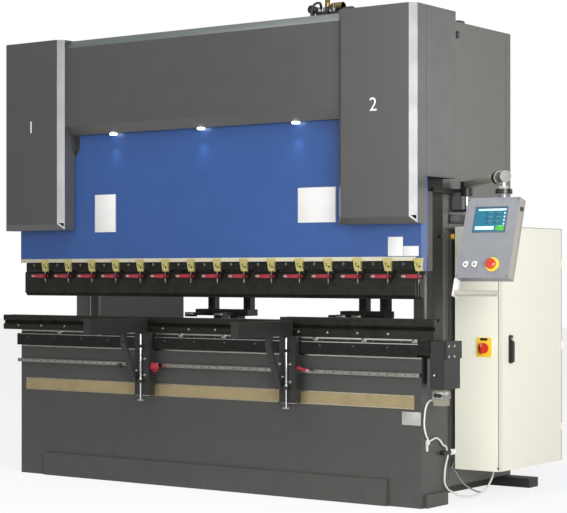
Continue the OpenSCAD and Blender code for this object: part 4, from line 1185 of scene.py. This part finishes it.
@dataclass
class GaugeDetails:
    """Rails, screws and guides of the back gauge."""

    def beam(self, shop: Shop) -> None:
        """Linear rail with its screws, and belt housings on the beam."""
        a, b = low("gauge_beam"), high("gauge_beam")
        y = 0.595
        rail = slab((a[0] + 0.03, y - 0.012, b[2] - 0.05), (b[0] - 0.03, y + 0.0005, b[2] - 0.03), 0.002)
        shop.piece("beam_rail", rail, "ground_steel", "gauge")
        x = np.arange(a[0] + 0.06, b[0] - 0.05, 0.08)
        shop.piece("beam_rail_screws", bolt_head(0.005, 0.003).scattered([(v, y - 0.012, b[2] - 0.04) for v in x], Axis.FRONT),
                   "dark_screw", "gauge")
        ends = joined(slab((v - 0.03, 0.60, b[2] - 0.085), (v + 0.03, 0.68, b[2] - 0.02), 0.004)
                      for v in (a[0] + 0.03, b[0] - 0.03))
        shop.piece("beam_ends", ends, "black_paint", "gauge")

    def fingers(self, shop: Shop) -> None:
        """Screws and ground stop faces of both finger units."""
        for name, body, posts, tips in (
            ("left_finger", "left_stop", (-0.47, -0.178), (-0.48, -0.24)),
            ("right_finger", "right_stop", (0.72, 0.874), (0.706, 0.82)),
        ):
            a, b = low(name), high(name)
            z = np.arange(1.13, b[2] - 0.01, 0.05)
            heads = bolt_head(0.004, 0.0025)
            spots = [(x + d, 0.64, v) for x in posts for d in (-0.018, 0.018) for v in z]
            shop.piece(name + "_screws", heads.scattered(spots, Axis.FRONT), "dark_screw", body)
            nose = joined(slab((x - 0.034, a[1] - 0.002, 1.046), (x + 0.034, a[1] + 0.004, 1.066), 0.001) for x in tips)
            shop.piece(name + "_noses", nose, "ground_steel", body)
            knob = lathe([(0.011, 0), (0.011, 0.008), (0.016, 0.012), (0.016, 0.024), (0.012, 0.028)], 20)
            side = [(x, 0.665, b[2] - 0.0005) for x in posts]
            shop.piece(name + "_knobs", knob.scattered(side, Axis.UP), "handle_black", body)

    def rails(self, shop: Shop) -> None:
        """Guide rails and drive screws on the fixed gauge rails."""
        b = high("gauge_rails")
        guide = joined(slab((s * 1.0 - 0.0155, 0.275, b[2] - 0.004), (s * 1.0 + 0.0155, 1.225, b[2] - 0.0005), 0.001)
                       for s in (-1, 1))
        shop.piece("gauge_guides", guide, "ground_steel", "base")
        screw = joined(tube(np.stack([np.full(30, s * 1.075), np.linspace(0.255, 1.245, 30), np.full(30, 0.69)], 1), 0.012, 16)
                       for s in (-1, 1))
        shop.piece("gauge_screws", screw, "chrome", "base")

    def build(self, shop: Shop) -> None:
        """Builds every piece of the back gauge."""
        self.beam(shop)
        self.fingers(shop)
        self.rails(shop)


@dataclass
class SupportArmDetails:
    """Screws, cross handle and bright edges of the two front support arms."""

    def arm(self, shop: Shop, name: str, body: str, x: float, spots: Sequence[tuple[float, float]]) -> None:
        """Dresses one arm.

        Args:
            shop: where the finishes are.
            name: start of the piece names.
            body: CAD body of the arm.
            x: middle of the arm along the bed.
            spots: places of the bright screws across and up.
        """
        heads = bolt_head(0.0085, 0.006, 16).scattered([(u, -0.11, z) for u, z in spots], Axis.FRONT)
        shop.piece(name + "_screws", heads, "bright_screw", body)
        foot = slab((x - 0.030, -0.1155, 0.5595), (x + 0.080, -0.0575, 0.5635), 0.001)
        shop.piece(name + "_foot", foot, "bright_screw", body)
        top = slab((x - 0.0215, -0.60, 1.0398), (x + 0.0315, -0.085, 1.0412), 0.0005)
        shop.piece(name + "_top", top, "arm_black", body)
        knurl = [(x - 0.004 + 0.0035 * k, -0.124, 0.532) for k in range(13)]
        ring = lathe([(0.0051, 0), (0.0056, 0.0008), (0.0051, 0.0016)], 16)
        shop.piece(name + "_grip_rings", ring.scattered(knurl, Axis.RIGHT), "bright_screw", body)
        stop = slab((x - 0.024, -0.612, 1.032), (x + 0.034, -0.604, 1.0455), 0.002)
        shop.piece(name + "_stop", stop, "arm_black", body)
        collar = lathe([(0.0085, 0), (0.012, 0.001), (0.012, 0.012), (0.0085, 0.013)], 24)
        rings = [(x + 0.018, -0.124, z) for z in (0.659, 0.845)]
        shop.piece(name + "_collars", collar.scattered(rings, Axis.UP), "bright_screw", body)

    def build(self, shop: Shop) -> None:
        """Builds the pieces of both arms."""
        self.arm(shop, "left_arm", "left_support", -0.451, ((-0.409, 0.788), (-0.476, 0.713), (-0.409, 0.688)))
        self.arm(shop, "right_arm", "right_support", 0.665, ((0.626, 0.789), (0.704, 0.789), (0.646, 0.712), (0.704, 0.685)))
        way = (math.sin(math.radians(103)), 0.0, math.cos(math.radians(103)))
        start = np.array([0.748, -0.086, 0.767])
        tip = lathe([(0.0096, 0), (0.0108, 0.003), (0.0108, 0.012), (0.006, 0.017)], 20)
        shop.piece("right_lever_tip", tip.scattered([tuple(start + np.array(way) * 0.054)], way), "grip_tip",
                   "right_support")


@dataclass
class CabinetDetails:
    """Seams, lock, switch, grille and screws of the electrical cabinet."""

    def build(self, shop: Shop) -> None:
        """Builds every piece of the cabinet."""
        a, b = low("cabinet_body"), high("cabinet_body")
        d = high("cabinet_door")
        y0, y1 = a[1] + 0.004, 1.303
        front = slab((b[0] - 0.0012, a[1] - 0.0008, a[2] + 0.002), (b[0] + 0.0016, a[1] + 0.003, b[2] - 0.002), 0.0005)
        shop.piece("cabinet_seam", front, "seam_dark", "base")
        edge = joined([
            slab((1.7488, y0, b[2] - 0.0062), (1.7508, y1, b[2] - 0.0036), 0.0005),
            slab((1.7488, y1 - 0.0045, a[2] + 0.004), (1.7508, y1 + 0.0004, b[2] - 0.004), 0.0005),
        ])
        shop.piece("door_seam", edge, "seam_dark", "door")
        h, g = low("door_handle"), high("door_handle")
        mid = (h[1] + g[1]) / 2
        lock = lathe([(0.012, 0), (0.012, 0.003), (0.0095, 0.005), (0.006, 0.0045)], 24)
        shop.piece("handle_lock", lock.scattered([(g[0] - 0.014, mid, g[2] - 0.022)], Axis.RIGHT), "bright_screw", "door")
        s, t = low("switch_plate"), high("switch_plate")
        centre = ((s[0] + t[0]) / 2, s[1] + 0.0004, (low("switch_knob")[2] + high("switch_knob")[2]) / 2)
        slot = slab((centre[0] - 0.024, s[1] - 0.004, t[2] - 0.017), (centre[0] + 0.024, s[1] + 0.001, t[2] - 0.003), 0.002)
        shop.piece("switch_slot", slot, "label_black", "base")
        k = low("switch_knob")
        mark = slab((centre[0] - 0.002, k[1] - 0.0006, centre[2] + 0.008), (centre[0] + 0.002, k[1] + 0.001, centre[2] + 0.028))
        shop.piece("switch_mark", mark, "label_white", "switch")
        vents = joined(slab((x, b[1] - 0.001, z), (x + 0.08, b[1] + 0.0006, z + 0.004), 0.001)
                       for x in (a[0] + 0.05, a[0] + 0.16) for z in np.arange(1.2, 1.4, 0.013))
        shop.piece("cabinet_vents", vents, "seam_dark", "base")
        screws = bolt_head(0.006, 0.003)
        rows = [(x, a[1], z) for x in (a[0] + 0.012, d[0] - 0.035) for z in (a[2] + 0.02, b[2] - 0.02)]
        shop.piece("cabinet_screws", screws.scattered(rows, Axis.FRONT), "valve_grey", "base")
        lump = lathe([(0.014, 0), (0.017, 0.004), (0.017, 0.02), (0.010, 0.026)], 20)
        shop.piece("cover_lump", lump.scattered([(1.402, 0.559, 1.54)], Axis.RIGHT), "switch_yellow", "base")


@dataclass
class PanelDetails:
    """Screen picture, screws and rims of the control panel, and collars of its arm."""

    lean: float = math.radians(17.6)

    def place(self, shape: Shape) -> Shape:
        """Carries a shape from the panel's own frame onto the leaning panel.

        Args:
            shape: across, depth behind the front face, and height under the top edge.

        Returns:
            The shape in the shared frame.
        """
        c, s = math.cos(self.lean), math.sin(self.lean)
        turn = np.array([[1, 0, 0], [0, c, s], [0, -s, c]])
        return shape.turned(turn).moved((2.025392, -0.059642, 1.733))

    def flat(self, a: Sequence[float], b: Sequence[float], radius: float = 0.0006) -> Shape:
        """Box on the panel between two corners of the panel's own frame."""
        return self.place(slab(a, b, radius))

    def screen(self, shop: Shop) -> None:
        """Generic shapes on the screen and its dark rim."""
        rim = joined([
            self.flat((-0.103, -0.0018, -0.2005), (-0.0965, 0.002, -0.0515)),
            self.flat((0.0925, -0.0018, -0.2005), (0.099, 0.002, -0.0515)),
            self.flat((-0.103, -0.0018, -0.058), (0.099, 0.002, -0.0515)),
            self.flat((-0.103, -0.0018, -0.2005), (0.099, 0.002, -0.194)),
        ])
        shop.piece("screen_rim", rim, "rim_grey", "panel")
        y0, y1 = 0.0008, 0.0021
        bar = [self.flat((-0.082, y0, -0.075), (0.088, y1, -0.064), 0.0003),
               self.flat((-0.090, y0, -0.184), (0.026, y1, -0.164), 0.0003)]
        shop.piece("screen_bars", joined(bar), "screen_pale", "panel")
        shop.piece("screen_keys", joined([self.flat((0.036, y0, -0.188), (0.088, y1, -0.160), 0.0003)]), "screen_green",
                   "panel")
        rows = [self.flat((x, y0, z), (x + 0.04, y1, z + 0.016), 0.0003) for x in (-0.03, 0.02)
                for z in (-0.1, -0.125, -0.15)]
        shop.piece("screen_fields", joined(rows), "screen_deep", "panel")
        ticks = [self.flat((0.078, y0, z), (0.086, y1, z + 0.01), 0.0003) for z in (-0.095, -0.115, -0.135, -0.155)]
        shop.piece("screen_ticks", joined(ticks), "screen_pale", "panel")

    def knobs(self, shop: Shop) -> None:
        """Chrome rims of the buttons, side key and corner screws."""
        c, s = math.cos(self.lean), math.sin(self.lean)
        out = (0.0, -c, s)
        rim = lathe([(0.0178, 0), (0.0205, 0.0005), (0.0205, 0.004), (0.0178, 0.005)], 32)
        spots = [self.place(Shape(np.array([[x, -0.0002, -0.383]]), [])).points[0] for x in (-0.108, -0.053)]
        shop.piece("button_rims", rim.scattered(spots, out), "bright_screw", "panel")
        screw = bolt_head(0.0035, 0.002)
        corners = [self.place(Shape(np.array([[x, 0.0, z]]), [])).points[0] for x in (-0.15, 0.15) for z in (-0.012, -0.445)]
        shop.piece("panel_screws", screw.scattered(corners, out), "valve_grey", "panel")
        key = lathe([(0.013, 0), (0.013, 0.003), (0.009, 0.005), (0.009, 0.012), (0.006, 0.013)], 20)
        spot = self.place(Shape(np.array([[0.16, 0.03, -0.06]]), [])).points[0]
        shop.piece("panel_key", key.scattered([spot], Axis.RIGHT), "valve_grey", "panel")
        side = self.flat((0.1598, 0.004, -0.453), (0.1606, 0.063, -0.004), 0.0003)
        shop.piece("panel_side", side, "panel_side", "panel")
        marks = [self.place(Shape(np.array([[x, -0.0134 if x < 0 else -0.0355, -0.383]]), [])).points[0]
                 for x in (-0.108, -0.053)]
        dot = lathe([(0.006, 0), (0.006, 0.0004), (0.005, 0.0006)], 16)
        for name, body, spot in (("left_button_dot", "push_left", marks[0]), ("right_button_dot", "push_right", marks[1])):
            shop.piece(name, dot.scattered([spot + np.array(out) * -0.004], out), "valve_grey", body)

    def arm(self, shop: Shop) -> None:
        """Black collar, chrome neck and grey cap of the arm."""
        turn = math.radians(-46.8)
        way = (math.cos(turn), math.sin(turn), 0.0)
        start = np.array([1.48, 0.6, 1.847])
        collar = lathe([(0.030, 0), (0.037, 0.001), (0.0371, 0.059), (0.030, 0.0605)], 40)
        shop.piece("arm_collar", collar.scattered([tuple(start + np.array(way) * 0.7228)], way), "pipe_black", "arm")
        cap = lathe([(0.0311, 0), (0.0316, 0.002), (0.0316, 0.110), (0.029, 0.1136), (0.012, 0.1142)], 40)
        shop.piece("arm_cap", cap.scattered([tuple(start + np.array(way) * 0.7834)], way), "cap_grey", "arm")
        elbow = (2.069392, -0.027642, 0.0)
        neck = lathe([(0.0125, 1.795), (0.0125, 1.818), (0.015, 1.82)], 32).moved(elbow)
        nut = lathe([(0.0283, 1.7803), (0.0292, 1.782), (0.0292, 1.793), (0.0283, 1.7952)], 6).moved(elbow)
        shop.piece("arm_neck", joined([neck, nut]), "chrome", "arm")
        ring = lathe([(0.0452, 1.7525), (0.0458, 1.755), (0.0458, 1.776), (0.0452, 1.7792)], 40).moved(elbow)
        shop.piece("panel_ring", ring, "pipe_black", "panel")
        hub = lathe([(0.0362, 1.8228), (0.0368, 1.825), (0.0368, 1.862), (0.0345, 1.8665)], 40).moved((1.48, 0.6, 0.0))
        shop.piece("arm_hub", hub, "pipe_black", "arm")
        pin = lathe([(0.0102, 1.6992), (0.0108, 1.701), (0.0108, 1.776), (0.0102, 1.7795)], 24).moved((1.48, 0.6, 0.0))
        shop.piece("bracket_pin", pin, "chrome", "base")
        x = high("side_covers")[0]
        plate = slab((x - 0.0002, 0.526, 1.6165), (x + 0.0108, 0.702, 1.6695), 0.002)
        shop.piece("bracket_plate", plate, "valve_grey", "base")
        rail = slab((x - 0.0002, 0.315, 1.792), (x + 0.024, 0.541, 1.822), 0.004)
        shop.piece("arm_rail", rail, "arm_black", "base")
        handle = self.flat((-0.1705, 0.0035, -0.558), (-0.1575, 0.0525, -0.4565), 0.003)
        shop.piece("handle_bracket", handle, "label_white", "panel")

    def build(self, shop: Shop) -> None:
        """Builds every piece of the panel and its arm."""
        self.screen(shop)
        self.knobs(shop)
        self.arm(shop)


@dataclass
class BracketDetails:
    """Screws, keyhole and gland of the bracket and box at the bed's right end."""

    def build(self, shop: Shop) -> None:
        """Builds every piece of the bracket."""
        x = high("side_bracket")[0]
        heads = bolt_head(0.009, 0.006, 18)
        spots = [(x, y, z) for y in (-0.038, 0.023) for z in (0.859, 0.917)]
        shop.piece("bracket_screws", heads.scattered(spots, Axis.RIGHT), "bright_screw", "base")
        y = low("side_bracket")[1]
        plate = slab((1.642, y - 0.003, 0.728), (1.662, y + 0.0005, 0.782), 0.004)
        shop.piece("bracket_lock", plate, "label_black", "base")
        dot = lathe([(0.005, 0), (0.0045, 0.004), (0.003, 0.005)], 16)
        shop.piece("bracket_dot", dot.scattered([(1.652, y - 0.002, 0.754)], Axis.FRONT), "label_white", "base")
        flange = slab((1.6035, y - 0.0012, 0.678), (1.622, y + 0.0005, 0.844), 0.0006)
        shop.piece("bracket_flange", flange, "valve_grey", "base")
        a, b = low("junction_box"), high("junction_box")
        nut = lathe([(0.0135, 0), (0.0165, 0.001), (0.0165, 0.009), (0.0135, 0.010)], 6)
        shop.piece("gland_nut", nut.scattered([(1.634, -0.005, 0.612)], Axis.LEFT), "label_white", "base")
        screws = bolt_head(0.0045, 0.003)
        rows = [(v, a[1], 0.641) for v in (1.642, 1.694)]
        shop.piece("box_screws", screws.scattered(rows, Axis.FRONT), "valve_grey", "base")
        lid = joined([
            slab((a[0] + 0.0215, a[1] - 0.0006, 0.622), (b[0] + 0.0006, a[1] + 0.002, 0.660), 0.0006),
            slab((b[0] - 0.002, a[1] - 0.0006, 0.622), (b[0] + 0.0006, b[1] + 0.0004, 0.660), 0.0006),
        ])
        shop.piece("box_lid", lid, "bright_screw", "base")
        nuts = lathe([(0.010, 0), (0.012, 0.001), (0.012, 0.007), (0.008, 0.009)], 8)
        rows = [(v, a[1] - 0.0005, 0.641) for v in (1.655, 1.680)]
        shop.piece("box_nuts", nuts.scattered(rows, Axis.FRONT), "dark_screw", "base")
        collar = lathe([(0.0118, 0), (0.0172, 0.002), (0.0172, 0.028), (0.0118, 0.030)], 24)
        shop.piece("plug_collar", collar.scattered([(1.5745, 0.258, 0.297)], Axis.BACK), "label_white", "base")
        body = slab((1.5495, 0.0115, 0.3565), (1.567, 0.0345, 0.3815), 0.002)
        tail = slab((1.5495, 0.0135, 0.3185), (1.561, 0.0265, 0.358), 0.002)
        shop.piece("cable_splitter", joined([body, tail]), "cable_white", "base")


@dataclass(frozen=True)
class Cable:
    """One cable at the machine's right side, by the points of its route."""

    name: str
    diameter: float
    finish: str
    points: tuple[tuple[float, float, float], ...]

    def build(self, shop: Shop) -> None:
        """Builds the cable over its CAD solid.

        The first and the last 4 mm run straight, so that both ends stand square on what they
        enter.
        """
        path = smooth_path(self.points, 30 + 6 * len(self.points))
        made = shop.piece(self.name + "_skin", tube(path, self.diameter / 2, 12), self.finish, "base")
        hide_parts(self.name)


CABLES = (
    Cable("white_cable", 0.011, "cable_white", (
        (1.613, -0.005, 0.612), (1.603, -0.005, 0.612), (1.574, -0.004, 0.594), (1.558, -0.006, 0.546),
        (1.556, -0.012, 0.466), (1.557, 0.006, 0.411), (1.558, 0.022, 0.391), (1.558, 0.022, 0.381))),
    Cable("branch_cable", 0.011, "cable_white", (
        (1.558, 0.034, 0.375), (1.558, 0.050, 0.377), (1.558, 0.112, 0.387), (1.559, 0.152, 0.373),
        (1.561, 0.190, 0.341), (1.563, 0.214, 0.333), (1.563, 0.225, 0.317), (1.563, 0.225, 0.308))),
    Cable("loop_cable", 0.011, "cable_white", (
        (1.563, 0.236, 0.285), (1.563, 0.236, 0.271), (1.561, 0.210, 0.201), (1.562, 0.204, 0.131),
        (1.562, 0.232, 0.091), (1.560, 0.292, 0.064), (1.582, 0.374, 0.031), (1.622, 0.450, 0.033),
        (1.638, 0.545, 0.061), (1.638, 0.620, 0.114), (1.638, 0.640, 0.150), (1.638, 0.640, 0.166))),
    Cable("grey_cable", 0.009, "cable_grey", (
        (1.402, 0.574, 0.228), (1.410, 0.574, 0.228), (1.417, 0.562, 0.205), (1.418, 0.536, 0.168),
        (1.450, 0.530, 0.144), (1.480, 0.556, 0.084), (1.522, 0.590, 0.046), (1.542, 0.650, 0.026),
        (1.538, 0.720, 0.034), (1.548, 0.768, 0.084), (1.558, 0.785, 0.136), (1.558, 0.785, 0.166))),
)


def main() -> None:
    """Builds the studio and dresses every sub-assembly in order."""
    logging.basicConfig(level=logging.INFO, format="%(name)s: %(message)s")
    Studio().build()
    shop = Shop()
    for cable in CABLES:
        cable.build(shop)
    Skins().dress(shop)
    for part in (BedDetails(), RamDetails(), CoverDetails(), HydraulicDetails(), GaugeDetails(), SupportArmDetails(),
                 CabinetDetails(), PanelDetails(), BracketDetails()):
        part.build(shop)
        LOG.info("built %s", type(part).__name__)


if __name__ == "__main__":
    main()
